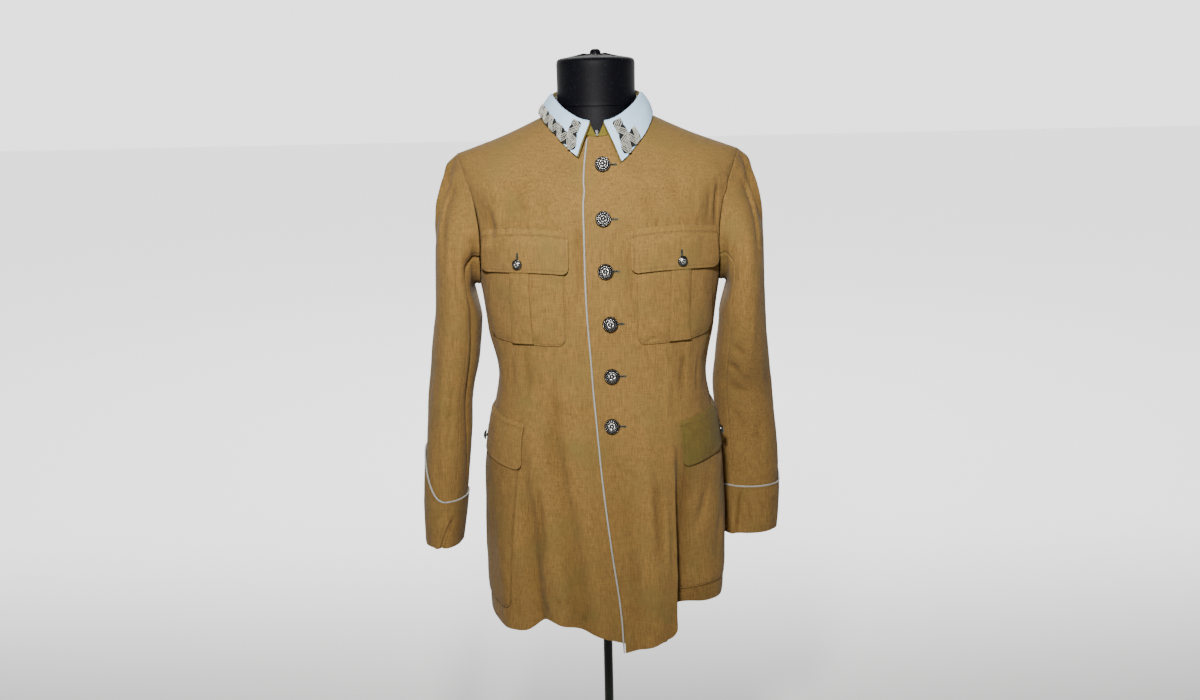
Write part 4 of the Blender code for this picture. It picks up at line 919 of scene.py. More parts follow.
def threads(name, centres, along, out, length, radius, look):
    """Many short threads in one piece: each a thin body of ten corners."""
    centres, along, out = (np.asarray(a, float).reshape(-1, 3) for a in (centres, along, out))
    along = unit(along)
    side = unit(np.cross(out, along))
    rise = np.cross(along, side)
    length = np.broadcast_to(np.asarray(length, float), (len(centres),))
    shape = [(-0.5, 0.0, 0.0)]
    for end in (-0.36, 0.36):
        shape += [(end, 1.0, 0.0), (end, 0.0, 1.0), (end, -1.0, 0.0), (end, 0.0, -1.0)]
    shape += [(0.5, 0.0, 0.0)]
    shape = np.array(shape)
    points = centres[:, None] + along[:, None] * (shape[:, 0] * length[:, None])[..., None]
    points = points + side[:, None] * shape[None, :, 1:2] * radius
    points = points + rise[:, None] * shape[None, :, 2:3] * radius
    faces = []
    for k in range(4):
        after = (k + 1) % 4
        faces += [(0, 1 + k, 1 + after, 1 + after), (1 + k, 5 + k, 5 + after, 1 + after),
                  (5 + k, 9, 9, 5 + after)]
    triangles = []
    for face in faces:
        corners = list(dict.fromkeys(face))
        triangles.append((corners[0], corners[1], corners[2]))
        if len(corners) == 4:
            triangles.append((corners[0], corners[2], corners[3]))
    base = np.array(triangles)[None] + (np.arange(len(centres)) * len(shape))[:, None, None]
    return make_mesh(name, points.reshape(-1, 3), base.reshape(-1, 3), look, 80.0)


def even_places(path, pitch):
    """Centres and directions of stitches at an even pitch along a line."""
    path = np.asarray(path, float)
    along = run_along(path)
    count = max(2, int(along[-1] / pitch))
    where = (np.arange(count) + 0.5) * along[-1] / count
    step = pitch * 0.3
    spots = [np.stack([np.interp(np.clip(where + shift, 0.0, along[-1]), along, path[:, k])
                       for k in range(3)], axis=1) for shift in (-step, 0.0, step)]
    return spots[1], spots[2] - spots[0]


def panel_levels():
    """Levels of all rows of a panel, hem to neck, closer at the armhole's ends."""
    lower = np.linspace(HEM, ARMPIT, PANEL_LOOPS)[:-1]
    middle = ARMPIT + (SHOULDER - ARMPIT) * 0.5 * (1.0 - np.cos(math.pi * np.linspace(0.0, 1.0, 58)))
    return np.concatenate((lower, middle, np.linspace(SHOULDER, NECK, 26)[1:]))


def armhole(level, front):
    """Angle cut away at the armhole, a little more at the front."""
    share = (level - ARMPIT) / (SHOULDER - ARMPIT)
    across = np.sqrt(np.clip(1.0 - (2.0 * share - 1.0) ** 2, 0.0, 1.0))
    return ARMHOLE_MEAN * across + (ARMHOLE_LEAN if front else -ARMHOLE_LEAN) * across ** 2


def hem_level(angle, side):
    """Level where a panel is cut at the hem."""
    table = HEM_LEFT if side > 0 else HEM_RIGHT
    wrapped = np.where(angle > table[-1, 0] + 45.0, angle - 360.0, angle)
    return level_at(angle, through(table[:, 0], table[:, 1], wrapped))


def lap_inset(points):
    """How far the under front lies in below the front that laps over."""
    edge = through(FRONT_EDGE[:, 0], FRONT_EDGE[:, 1], points[..., 2])
    return LAYER * smooth((points[..., 0] - edge + LAP_STEP) / (LAP_STEP * 0.8))


def seam_shares(count, close=(0.0, 0.0011, 0.0026, 0.0046)):
    """Even shares from 0 to 1 with closer columns at both ends."""
    inner = np.linspace(close[-1] * 2.0, 1.0 - close[-1] * 2.0, count)
    ends = np.array(close)
    return np.concatenate((ends * 1.6, inner, 1.0 - ends[::-1] * 1.6))


def panel(name, side, first_angle, last_angle, shares, seams, inset=None):
    """One body panel between two lines of angles, rolled in at its seams."""
    levels = panel_levels()[::-1]
    first = first_angle(levels)[:, None]
    angle = first + (last_angle(levels)[:, None] - first) * shares[None, :]
    foot = hem_level(angle[-1], side)
    cut = np.clip(1.0 - levels / HIP, 0.0, 1.0)
    level = levels[:, None] + foot[None, :] * cut[:, None]
    plain = body_point(angle, level)
    normal = surface_normal(angle, level)
    out = cloth_out(angle, plain[..., 2])
    roll = 0.0
    for seam, end in ((seams[0], 0), (seams[1], -1)):
        if seam:
            away = np.linalg.norm(plain - plain[:, end:end + 1 or None], axis=-1)
            ends = smooth(away.max(axis=1) / 0.01)[:, None]
            roll = roll + SEAM_ROLL * bell(away, SEAM_ROLL_WIDTH) * ends
    fade = smooth((plain[..., 2] - 1.38) / 0.05)
    outer = plain + normal * (out - roll * (1.0 - 0.5 * fade))[..., None]
    if inset is not None:
        outer = outer - normal * inset(outer)[..., None]
    chart = np.stack((angle * DEGREE, plain[..., 2]), axis=-1)
    # Painted shade: the hollow mask darkens creases, the valleys of the hanging folds and the rolls at the
    # seams.
    hollow = np.clip(-out / 0.006, 0.0, 0.4) + np.clip(roll / SEAM_ROLL, 0.0, 1.0) * 0.8
    hollow = hollow + 0.55 * np.clip(-fold_out(angle, level) / 0.016, 0.0, 1.0)
    return cloth(name, outer, -normal, KHAKI, chart, hollow)


def body_panels():
    """Two fronts and two backs, each replacing its solid."""
    near = seam_shares(PANEL_COLUMNS)
    valley = np.concatenate((near[near < 0.50], np.linspace(0.50, 0.72, VALLEY_COLUMNS), near[near > 0.72]))
    made = {}
    made["front_left"] = panel("front_left_cloth", 1, lambda v: HALF_SEAM + armhole(v, True),
                               edge_angle, valley, (True, False))
    made["front_right"] = panel("front_right_cloth", -1, lambda v: edge_angle(v, LAP),
                                lambda v: RIGHT_SIDE - HALF_SEAM - armhole(v, True), near,
                                (False, True), lap_inset)
    made["back_right"] = panel("back_right_cloth", -1,
                               lambda v: RIGHT_SIDE + HALF_SEAM + armhole(v, False),
                               lambda v: np.full(v.shape, BACK - HALF_SEAM), near, (True, True))
    made["back_left"] = panel("back_left_cloth", 1, lambda v: np.full(v.shape, BACK + HALF_SEAM),
                              lambda v: 360.0 - HALF_SEAM - armhole(v, False), near, (True, True))
    for word, piece in made.items():
        stand_in(word)
    return made


def arm_ring(rows, side, height, turn, grow=0.0):
    """Section of a sleeve at a height, at turns in degrees."""
    place = [through(rows[::-1, 0], rows[::-1, column], height) for column in range(1, 5)]
    x = place[0] + (place[2] + grow) * np.cos(np.radians(turn))
    y = place[1] - (place[3] + grow) * np.sin(np.radians(turn))
    return np.stack((side * x, y, np.broadcast_to(height, x.shape)), axis=-1)


def soft_round(turn, up, size, seed):
    """Soft swelling round a tube, the same at turns 0 and 360."""
    share = np.mod(turn, 360.0) / 360.0
    here = rumple(turn * SLEEVE_DEGREE, up, size, seed)
    before = rumple((turn - 360.0) * SLEEVE_DEGREE, up, size, seed)
    return here * (1.0 - share) + before * share


def sleeve_turns(side):
    """Turns of a sleeve's columns, closer at its two seams."""
    even = np.linspace(0.0, 360.0, 97)[:-1]
    close = np.array((-3.0, -2.0, -1.2, -0.6, 0.0, 0.6, 1.2, 2.0, 3.0))
    extra = np.concatenate([seam + close for seam in SLEEVE_SEAMS[side]])
    if side < 0:
        extra = np.concatenate((extra, np.linspace(116.0, 178.0, 56)))
    far = np.min(np.abs(even[:, None] - extra[None, :]), axis=1) > 0.7
    return np.sort(np.concatenate((even[far], extra)))


def sleeve_surface(side):
    """Plain outer grid of a sleeve from the armhole to the wrist, and its turns."""
    rows = SLEEVE_LEFT_ROWS if side > 0 else SLEEVE_RIGHT_ROWS
    turn = sleeve_turns(side)
    radians = np.radians(turn)

    def loop(shift):
        """Armhole points, a little round the loop."""
        moved = radians + shift
        levels = ARMPIT + (SHOULDER - ARMPIT) * 0.5 * (1.0 + np.cos(moved))
        cut = ARMHOLE_MEAN * np.sin(moved) + ARMHOLE_LEAN * np.sin(moved) ** 2
        angle = cut if side > 0 else RIGHT_SIDE - cut
        return angle, levels

    angle, levels = loop(0.0)
    points = body_point(angle, levels)
    normal = surface_normal(angle, levels)
    run = body_point(*loop(0.2)) - body_point(*loop(-0.2))
    away = unit(np.cross(normal, run)) * side
    steep = 0.25 * math.pi * (1.0 - np.cos(radians))
    lead = unit(away * np.cos(steep)[:, None] + normal * np.sin(steep)[:, None])
    first = points + lead * SLEEVE_GAP
    second = points + lead * (SLEEVE_GAP + SLEEVE_START)
    rise = np.cos(radians)
    (next_middle, next_rise), (top_middle, top_rise) = SLEEVE_RINGS[-2:]
    below = arm_ring(rows, side, top_middle + top_rise * rise, turn)
    under = arm_ring(rows, side, next_middle + next_rise * rise, turn)
    heading = unit(under - below)
    length = np.linalg.norm(below - second, axis=1, keepdims=True)
    grid = [first, 0.6 * first + 0.4 * second, second]
    for part in np.linspace(0.0, 1.0, 39)[1:]:
        grid.append(eased_curve(second, lead * length * CAP_LEAD, below, heading * length, part))
    for middle in np.linspace(top_middle, rows[-1, 0], SLEEVE_LOOPS)[1:]:
        lift = through(SLEEVE_RINGS[:, 0], SLEEVE_RINGS[:, 1], middle)
        ring = arm_ring(rows, side, middle + lift * rise, turn)
        ring[:, 2] += cuff_tilt(side, turn, rows[-1, 0], ring[:, 2])
        grid.append(ring)
    return np.array(grid), turn


def sleeve_creased(side):
    """Sleeve grid with its creases, inward directions, turns and hollows."""
    grid, turn = sleeve_surface(side)
    inward = grid_inward(grid, True) * side
    across = (turn * SLEEVE_DEGREE)[None, :]
    height = grid[..., 2]
    table = np.array(SLEEVE_CREASES[side])
    table[:, (0, 2)] *= SLEEVE_DEGREE
    out = crease_out(across, height, table)
    out = out + soft_round(turn[None, :], height, 0.050, 11 + side) * 0.0012
    out = out + soft_round(turn[None, :], height, 0.020, 14 + side) * 0.0004
    run = np.linalg.norm(grid - grid[:1], axis=-1)
    pucker = np.clip(rumple(across * np.ones(run.shape), run * 0.25, 0.0062, 31 + side), -0.2, 1.0)
    out = out - 0.0012 * pucker * bell(run - 0.007, 0.0075)
    head = smooth((np.cos(np.radians(turn)) - 0.15) / 0.6)
    out = out + 0.0042 * head * bell(run - 0.022, 0.014)
    pit = np.exp(-((turn - 146.0) / 34.0) ** 4)
    out = out - 0.0065 * pit * bell(run - 0.009, 0.0050)
    roll = 0.0008 * bell(run, 0.0018)
    for index, seam in enumerate(SLEEVE_SEAMS[side]):
        gap = (turn - seam) * SLEEVE_DEGREE
        deep = smooth((1.30 - height) / 0.03) * smooth((height - 0.86) / 0.06)
        depth = 0.0005 + 0.0012 * deep * (index == 0 and side > 0)
        roll = roll + depth * bell(gap, 0.0013)
    low = smooth((height - grid[-1, 0, 2] - 0.075) / 0.03)
    out = (out - roll) * (0.15 + 0.85 * low)
    return grid, inward, out, turn


def tube_chart(turn, grid):
    """Chart of a tube of cloth, with one more column than its grid."""
    run = np.concatenate((turn, turn[:1] + 360.0)) * SLEEVE_DEGREE
    height = np.append(grid[..., 2], grid[:, :1, 2], axis=1)
    return np.stack(np.broadcast_arrays(run[None, :], height), axis=-1)


def turned_back(*grids):
    """Grids with their columns the other way round."""
    return [grid[:, ::-1] for grid in grids]


def sleeve(side, word):
    """One sleeve: a tube of cloth open at both ends."""
    grid, inward, out, turn = sleeve_creased(side)
    grid = grid - inward * out[..., None]
    chart = tube_chart(turn, grid)
    # Painted shade: darker where creases push the sleeve's cloth in.
    hollow = np.clip(-out / 0.008, 0.0, 0.6)
    if side < 0:
        grid, inward, chart, hollow = turned_back(grid, inward, chart, hollow)
        chart = np.concatenate((chart[:, 1:], chart[:, 1:2] - (360.0 * SLEEVE_DEGREE, 0.0)), axis=1)
    made = cloth("sleeve_%s_cloth" % word, grid, inward, KHAKI, chart, hollow, True)
    stand_in("sleeve_" + word)


def cuff_top(side, turn, foot):
    """Height of a cuff's upper edge, which peaks at the back seam."""
    gap = turn_gap(turn, CUFF_SEAM_ANGLE[side])
    peak = smooth(1.0 - np.abs(gap) / CUFF_PEAK_WIDTH[side]) ** CUFF_PEAK_POWER[side]
    return foot + CUFF_HEIGHT + CUFF_PEAK[side] * peak


def cuff_tilt(side, turn, foot, height):
    """Rise of a wrist's front, fading upward."""
    front = smooth(0.5 + 0.5 * np.sin(np.radians(turn)))
    return CUFF_TILT[side] * front * smooth((foot + 0.070 - height) / 0.070)


def cuff_surface(side, shares):
    """Outer grid of a cuff at shares down from its upper edge."""
    rows = SLEEVE_LEFT_ROWS if side > 0 else SLEEVE_RIGHT_ROWS
    foot = rows[-1, 0]
    turn = np.linspace(0.0, 360.0, 145)[:-1]
    top = cuff_top(side, turn, foot)
    height = foot + (top - foot)[None, :] * (1.0 - shares)[:, None]
    grid = arm_ring(rows, side, height, np.broadcast_to(turn, height.shape), CLOTH + REST_GAP)
    inward = grid_inward(grid, True) * side
    total = soft_round(turn[None, :], height, 0.030, 21 + side) * 0.0007
    for turn_0, share_0, turn_1, share_1, width, depth in CUFF_CREASES[side]:
        part = np.clip((shares[:, None] - share_0) / (share_1 - share_0), 0.0, 1.0)
        fade = smooth((shares[:, None] - share_0 + 0.15) / 0.3)
        if share_1 < 1.0:
            fade = fade * smooth((share_1 + 0.1 - shares[:, None]) / 0.2)
        middle = turn_0 + (turn_1 - turn_0) * part
        gap = turn_gap(turn[None, :], middle)
        total = total + depth * 0.55 * fade * bell(gap, width)
    total = total * smooth(shares * 6.0)[:, None]
    total = total - 0.0007 * (bell(shares - 0.045, 0.018))[:, None]
    drop = soft_round(turn, np.zeros(turn.shape), 0.022, 27 + side) * 0.0020
    grid[..., 2] += drop[None, :] * shares[:, None] ** 3
    grid[..., 2] += cuff_tilt(side, turn[None, :], foot, grid[..., 2])
    return grid - inward * total[..., None], inward, total, turn


def cuff(side, word):
    """Cuff band outside the end of a sleeve, and the piping on its upper edge."""
    shares = np.concatenate(([0.0, 0.006, 0.016], np.linspace(0.03, 0.985, 30), [1.0]))
    grid, inward, out, turn = cuff_surface(side, shares)
    edge = grid[0]
    edge_normal = -inward[0]
    chart = tube_chart(turn, grid)
    # Painted shade: darker where creases push the cuff's cloth in.
    hollow = np.clip(-out / 0.003, 0.0, 1.0)
    if side < 0:
        grid, inward, chart, hollow = turned_back(grid, inward, chart, hollow)
    made = cloth("cuff_%s_cloth" % word, grid, inward, KHAKI, chart, hollow, True)
    stand_in("cuff_" + word)
    path = edge_cord(edge, edge_normal, (0.0, 0.0, 1.0), True)
    cord = tube("cuff_piping_%s_cord" % word, path, PIPING_RADIUS, PIPING, True, 10)
    stand_in("cuff_piping_" + word)


def edge_cord(points, normal, toward, closed):
    """Path of a cord along an edge of cloth, a seam gap outside it."""
    if closed:
        run = np.roll(points, -1, axis=0) - np.roll(points, 1, axis=0)
    else:
        run = np.gradient(points, axis=0)
    away = unit(np.cross(normal, run))
    away = away * np.sign(away @ np.array(toward))[:, None]
    return points + away * (PIPING_RADIUS + SEAM) - normal * (CLOTH * 0.5)


def front_piping():
    """Piping down the edge of the front that laps over."""
    levels = panel_levels()[::2]
    angle = edge_angle(levels)
    foot = hem_level(angle[:1], 1)
    levels = levels + foot * np.clip(1.0 - levels / HIP, 0.0, 1.0)
    angle = edge_angle(levels)
    points, normal = dressed(angle, levels)
    path = edge_cord(points, normal, (-1.0, 0.0, 0.0), False)
    made = tube("front_piping_cord", path, PIPING_RADIUS, PIPING, False, 10)
    stand_in("front_piping")


def stand_height(angle):
    """Height of the stand: lower in front than at the back."""
    back = 0.5 * (1.0 - np.sin(np.radians(angle)))
    return STAND_FRONT + (STAND_BACK - STAND_FRONT) * smooth(back)


def stand_point(share, rise):
    """Point of the stand's outer face; share runs round, rise goes 0 to 1."""
    open_x = STAND_MEET + (STAND_OPEN - STAND_MEET) * rise
    right = angle_for(-open_x, NECK)
    left = angle_for(open_x, NECK) + 360.0
    angle = right + (left - right) * share
    base = ring_point(angle, np.full(np.shape(angle), NECK))
    out = unit((base - np.array((0.0, -0.010, 0.0))) * np.array((1.0, 1.0, 0.0)))
    point = base - out * (STAND_LEAN * rise)[..., None]
    point[..., 2] += SEAM * 2.0 + stand_height(angle) * rise
    return point, out


def fall_point(share, run):
    """Point of the fall: from the stand's top (0) over the roll to the edge (1)."""
    top, out = stand_point(share, np.ones(np.shape(share)))
    start = top + np.array((0.0, 0.0, SEAM * 2.0))
    tip_angle = FALL_EDGE[0, 0] + (FALL_EDGE[-1, 0] - FALL_EDGE[0, 0]) * share
    level = through(FALL_EDGE[:, 0], FALL_EDGE[:, 1], tip_angle)
    low = body_point(tip_angle, level) + surface_normal(tip_angle, level) * FALL_LIFT
    up = np.array((0.0, 0.0, 1.0))
    crest = start + out * ROLL * 0.9 + up * ROLL
    outer = start + out * ROLL * 2.0 + up * ROLL * 0.1
    middle = 0.5 * (outer + low) + (out + up * 0.4) * 0.0020
    knots = (0.0, 0.08, 0.18, 0.58, 1.0)
    rows = (start, crest, outer, middle, low)
    slopes = []
    for index in range(len(rows)):
        before = max(index - 1, 0)
        after = min(index + 1, len(rows) - 1)
        slopes.append((rows[after] - rows[before]) / (knots[after] - knots[before]))
    total = 0.0
    for index in range(len(rows) - 1):
        span = knots[index + 1] - knots[index]
        part = (run - knots[index]) / span
        inside = (part >= 0.0) & ((part < 1.0) | (index == len(rows) - 2)) & (part <= 1.0)
        part = part[..., None]
        piece = eased_curve(rows[index], slopes[index] * span, rows[index + 1],
                            slopes[index + 1] * span, part)
        total = total + piece * inside[..., None]
    return total


def fall_inward(share, run):
    """Inward direction of the fall, from close points of its surface."""
    across = fall_point(np.clip(share + 0.002, 0.0, 1.0), run)
    across = across - fall_point(np.clip(share - 0.002, 0.0, 1.0), run)
    along = fall_point(share, np.clip(run + 0.01, 0.0, 1.0))
    along = along - fall_point(share, np.clip(run - 0.01, 0.0, 1.0))
    return unit(np.cross(along, across))


def fall_dressed(share, run, lift):
    """Point and inward direction of cloth lifted above the fall, softly uneven."""
    inward = fall_inward(share, run)
    wave = rumple(share * FALL_WIDTH, run * FALL_DEPTH, 0.018, 41) * 0.0005
    return fall_point(share, run) - inward * (lift + wave)[..., None], inward


def fall_cloth(name, shares, runs, lift, thickness, look):
    """Piece of cloth on the fall."""
    share, run = np.meshgrid(shares, runs)
    grid, inward = fall_dressed(share, run, lift + np.zeros(share.shape))
    chart = np.stack((share * FALL_WIDTH, -run * FALL_DEPTH), axis=-1)
    near = np.minimum(np.abs(share - shares[0]), np.abs(share - shares[-1])) * FALL_WIDTH
    near = np.minimum(near, np.abs(run - runs[-1]) * FALL_DEPTH)
    # Painted shade along the groove of the edge stitching; the wool of the fall shows it, the felt of the
    # patches does not.
    hollow = 0.5 * bell(near - 0.0030, 0.0007)
    grid = grid + inward * (0.0003 * hollow)[..., None]
    return cloth(name, grid, inward, look, chart, hollow, False, thickness)


def collar():
    """Stand, fall, and the two coloured patches."""
    share, rise = np.meshgrid(np.linspace(0.0, 1.0, 121), np.linspace(1.0, 0.0, 12))
    grid, _ = stand_point(share, rise)
    inward = grid_inward(grid, False)
    chart = np.stack((share * 0.42, rise * 0.025), axis=-1)
    stand = cloth("collar_stand_cloth", grid, inward, OLIVE, chart, 0.35 * (1.0 - rise))
    stand_in("collar_stand")
    fall = fall_cloth("collar_fall_cloth", np.linspace(0.0, 1.0, 161), np.linspace(0.0, 1.0, 42),
                      0.0, CLOTH, GREEN_KHAKI)
    stand_in("collar_fall")
    lift = THIN_CLOTH + SEAM * 3.0
    shares = np.linspace(0.0035, PATCH_SHARE, 64)
    runs = np.concatenate((np.linspace(0.05, 0.18, 14)[:-1], np.linspace(0.18, 0.988, 36)))
    for side, word in SIDES:
        across = shares if side < 0 else 1.0 - shares[::-1]
        patch = fall_cloth("collar_patch_%s_cloth" % word, across, runs, lift, THIN_CLOTH, FELT)
        stand_in("collar_patch_" + word)


def braid_path(side, stretch):
    """Middle line of a stretch of braid, as shares and runs on the fall."""
    if stretch == "front":
        rows = np.array(((0.041, 0.19), (0.038, 0.45), (0.029, 0.72), (0.019, 0.93)))
    else:
        back = BRAID_BACK[side]
        rows = np.array(((0.024, 0.80), (0.5 * back, 0.785), (0.8 * back, 0.785), (back, 0.79)))
    along = np.linspace(0.0, 1.0, len(rows))
    where = np.linspace(0.0, 1.0, 60)
    return through(along, rows[:, 0], where), through(along, rows[:, 1], where)


def on_braid(side, stretch, distance, offset):
    """Share and run at a distance along a stretch and an offset across it."""
    share, run = braid_path(side, stretch)
    rate_share = np.linalg.norm(fall_point(share + 0.004, run) - fall_point(share, run), axis=1) / 0.004
    rate_run = np.linalg.norm(fall_point(share, run + 0.01) - fall_point(share, run), axis=1) / 0.01
    step = np.hypot(np.diff(share) * rate_share[1:], np.diff(run) * rate_run[1:])
    along = np.concatenate(([0.0], np.cumsum(step)))
    head_share = np.gradient(share) * rate_share
    head_run = np.gradient(run) * rate_run
    size = np.hypot(head_share, head_run)
    parts = (share, run, -head_run / size / rate_share, head_share / size / rate_run)
    share, run, side_share, side_run = (np.interp(distance, along, part) for part in parts)
    turned = -1.0 if stretch == "front" else 1.0
    moved = np.clip(run + turned * offset * side_run, 0.17, 0.985)
    return share + turned * offset * side_share, moved, along[-1]


def braid_cloth(side, stretch, distance, offset, lift):
    """Points and inward directions of the braid above the patch."""
    share, run, _ = on_braid(side, stretch, distance, offset)
    share = np.clip(share, 0.006, 0.45)
    return fall_dressed(share if side < 0 else 1.0 - share, run, lift)


def braid_stretch(side, word, stretch, rise):
    """One stretch of braid: a lumpy ground, near black as painted shade between the strands, and bundles of
    pale strands.

    Each bundle has four side by side, and slants the other way from the next,
    which it overlaps.
    """
    width = BRAID_WIDTH[stretch]
    length = on_braid(side, stretch, 0.0, 0.0)[2]
    bundles = max(2, round(length / BRAID_BUNDLE))
    pitch = length / bundles
    lift = 2.0 * (THIN_CLOTH + SEAM * 2.0) + rise
    down, across = np.meshgrid(np.linspace(0.0, 1.0, 120), np.linspace(-1.0, 1.0, 13))
    lump = 0.80 + 0.20 * np.abs(np.sin(down * bundles * math.pi + 0.6)) ** 0.7
    lump = lump * np.sqrt(np.clip(1.0 - (2.0 * down - 1.0) ** 12, 0.05, 1.0))
    grid, inward = braid_cloth(side, stretch, down * length, across * lump * width * 0.5,
                               lift + 0.0004 * (1.0 - across ** 2))
    chart = np.stack((down * length, across * width * 0.5), axis=-1)
    facing = np.cross(grid[1, 0] - grid[0, 0], grid[0, 1] - grid[0, 0]) @ inward[0, 0]
    if facing > 0.0:
        grid = grid[::-1]
        inward = inward[::-1]
    band = cloth("collar_braid_%s_%s_ground" % (word, stretch), grid, inward, BRAID_SHADE, chart,
                 np.zeros(down.shape), False, THIN_CLOTH * 0.6)
    chance = np.random.default_rng(51 + side + len(stretch))
    low = []
    high = []
    raised = []
    for bundle in range(bundles):
        lean = 1.0 if bundle % 2 else -1.0
        middle = (bundle + 0.5) * pitch
        for strand in range(BRAID_STRANDS):
            shift = (strand - 1.5) * pitch * 0.260
            reach = width * 0.5 * chance.uniform(0.90, 1.02)
            slant = lean * pitch * 0.45
            bend = chance.uniform(-0.0003, 0.0003)
            places = np.linspace(-1.0, 1.0, 6)
            spots = np.stack((middle + shift + slant * places + bend, reach * places), axis=1)
            low.append(spots[:-1])
            high.append(spots[1:])
            raised += [0.0006 * (bundle % 2)] * len(spots[1:])
    low = np.clip(np.concatenate(low), (0.0, -1.0), (length, 1.0))
    high = np.clip(np.concatenate(high), (0.0, -1.0), (length, 1.0))
    one, inward_one = braid_cloth(side, stretch, low[:, 0], low[:, 1],
                                  lift + 0.0008 + np.array(raised) - 10.0 * low[:, 1] ** 2)
    two, _ = braid_cloth(side, stretch, high[:, 0], high[:, 1],
                         lift + 0.0008 + np.array(raised) - 10.0 * high[:, 1] ** 2)
    span = np.linalg.norm(two - one, axis=1)
    strands = threads("collar_braid_%s_%s_strands" % (word, stretch), 0.5 * (one + two), two - one,
                      -inward_one, span * 1.45, 0.00088, BRAID_LIGHT)
    return band


def braid(side, word):
    """Braid on a patch: down its front edge and along its lower edge."""
    low = braid_stretch(side, word, "low", 0.0)
    braid_stretch(side, word, "front", 0.0007)
    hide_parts("collar_braid_" + word)


def corner_cut(share, radius_share):
    """Height share lost at the two ends of a rounded lower edge."""
    near = np.minimum(share, 1.0 - share)
    past = np.clip(1.0 - near / radius_share, 0.0, 1.0)
    return 1.0 - np.sqrt(1.0 - past ** 2)


def patch_shares(count, close):
    """Even shares from 0 to 1, closer within close of both ends."""
    ends = close * np.array((0.0, 0.15, 0.35, 0.6, 0.8))
    return np.concatenate((ends, np.linspace(close, 1.0 - close, count), 1.0 - ends[::-1]))


def body_patch(name, angle, level, lift, look, hollow, thickness=CLOTH, sewn=None):
    """Cloth lying on the body, lifted by an amount for each of its points.

    sewn counts the columns, the rows up from the foot and the rows down from
    the head where a line of stitches runs round it.
    """
    grid, normal = dressed(angle, level, lift)
    if sewn is not None:
        column, low, head = sewn
        low = grid.shape[0] - 1 - low
        far = grid.shape[1] - 1 - column
        down = np.arange(head, low)
        over = np.arange(column, far)
        rows = np.concatenate((down, np.full(len(over), low), down[::-1] + 1, np.full(len(over), head)))
        columns = np.concatenate((np.full(len(down), column), over, np.full(len(down), far), over[::-1] + 1))
        sewn_line(name.replace("cloth", "stitches"), grid[rows, columns], normal[rows, columns], THREAD)
    height = grid[..., 2]
    chart = np.stack((angle * DEGREE, height), axis=-1)
    return cloth(name, grid, -normal, look, chart, hollow, False, thickness)


def edge_gap(share_across, share_down, width, height):
    """Distance in metres to the two sides and to the foot of a patch."""
    side = np.minimum(share_across, 1.0 - share_across) * width
    return side, (1.0 - share_down) * height


def breast_x(side, shares, inner, outer):
    """x of a breast piece's columns, in the order of their angles."""
    x = side * (inner + (outer - inner) * shares)
    return x if side < 0 else x[::-1]


def pocket_relief(gap, puff, reach, wave, pucker):
    """Lift of a sewn pocket, and its stitch line, from the gap to its edges."""
    lift = CLOTH + SEAM + puff * smooth((gap - 0.002) / reach)
    lift = lift + 0.0008 * wave * smooth((gap - 0.003) / 0.02)
    stitch = bell(gap - 0.0022, 0.0009)
    return lift - 0.0005 * stitch - 0.0003 * pucker * bell(gap - 0.006, 0.004), stitch


def flap_relief(below, gap, drop, high, wave):
    """Lift of a flap with grooves at its sewn line and its row of stitches, and painted shade in those
    grooves.
    """
    lift = flap_lift(below, drop, high) + 0.0007 * wave * smooth(below / 0.03)
    seam = bell(below - drop, 0.0009)
    stitch = bell(gap - 0.0055, 0.0008)
    return lift - 0.0006 * seam - 0.0003 * stitch, np.clip(0.8 * seam + 0.4 * stitch, 0.0, 1.0)


def breast_pocket(side, word):
    """Breast pocket: patch sewn down on three sides, box pleat and flap."""
    across = patch_shares(64, 0.045)
    down = patch_shares(74, 0.03)
    order = slice(None) if side < 0 else slice(None, None, -1)
    foot = (BREAST_FOOT + 0.018 * corner_cut(across, 0.12) + 0.008 * across ** 3)[order]
    x, _ = np.meshgrid(breast_x(side, across, BREAST_INNER, BREAST_OUTER), down)
    height = BREAST_TOP + (foot[None, :] - BREAST_TOP) * down[:, None]
    angle, level = place_on_front(x, height)
    share, run = np.meshgrid(across, down)
    near, low = edge_gap(share, run, BREAST_OUTER - BREAST_INNER, BREAST_TOP - BREAST_FOOT)
    gap = np.minimum(near, low)
    pucker = rumple((x + height) * 3.0, x - height, 0.012, 64 + side)
    lift, stitch = pocket_relief(gap, 0.0010, 0.012, rumple(x * 1.4, height, 0.026, 61 + side), pucker)
    # Painted shade in the groove of the stitch line.
    pocket = body_patch("breast_pocket_%s_cloth" % word, angle, level, lift, KHAKI, 0.9 * stitch,
                        sewn=(2, 2, 0))
    stand_in("breast_pocket_" + word)

    pleat_across = patch_shares(14, 0.10)
    pleat_down = patch_shares(70, 0.02)
    fan = 1.0 + 0.10 * (pleat_down - 0.5)
    middle = 0.5 * (PLEAT_INNER + PLEAT_OUTER)
    half = 0.5 * (PLEAT_OUTER - PLEAT_INNER)
    share, run = np.meshgrid(pleat_across, pleat_down)
    wander = 0.0012 * np.sin(run * 5.0 + side)
    x = side * (middle + wander + half * (2.0 * share - 1.0) * fan[:, None])
    x = x if side < 0 else x[:, ::-1]
    height = BREAST_TOP - 0.004 + (BREAST_FOOT + 0.003 - BREAST_TOP + 0.004) * run
    angle, level = place_on_front(x, height)
    edge = np.minimum(share, 1.0 - share) * half * 2.0
    lift = CLOTH + SEAM + 0.0018 + THIN_CLOTH + 0.0008 * smooth(edge / 0.006)
    lift = lift + 0.0004 * rumple(x, height, 0.03, 71 + side)
    # Painted shade along the folded edges of the pleat.
    hollow = 0.6 * bell(edge, 0.0012)
    pleat = body_patch("breast_pleat_%s_cloth" % word, angle, level, lift, KHAKI, hollow, THIN_CLOTH)
    stand_in("breast_pleat_" + word)

    breast_flap(side, word, order)


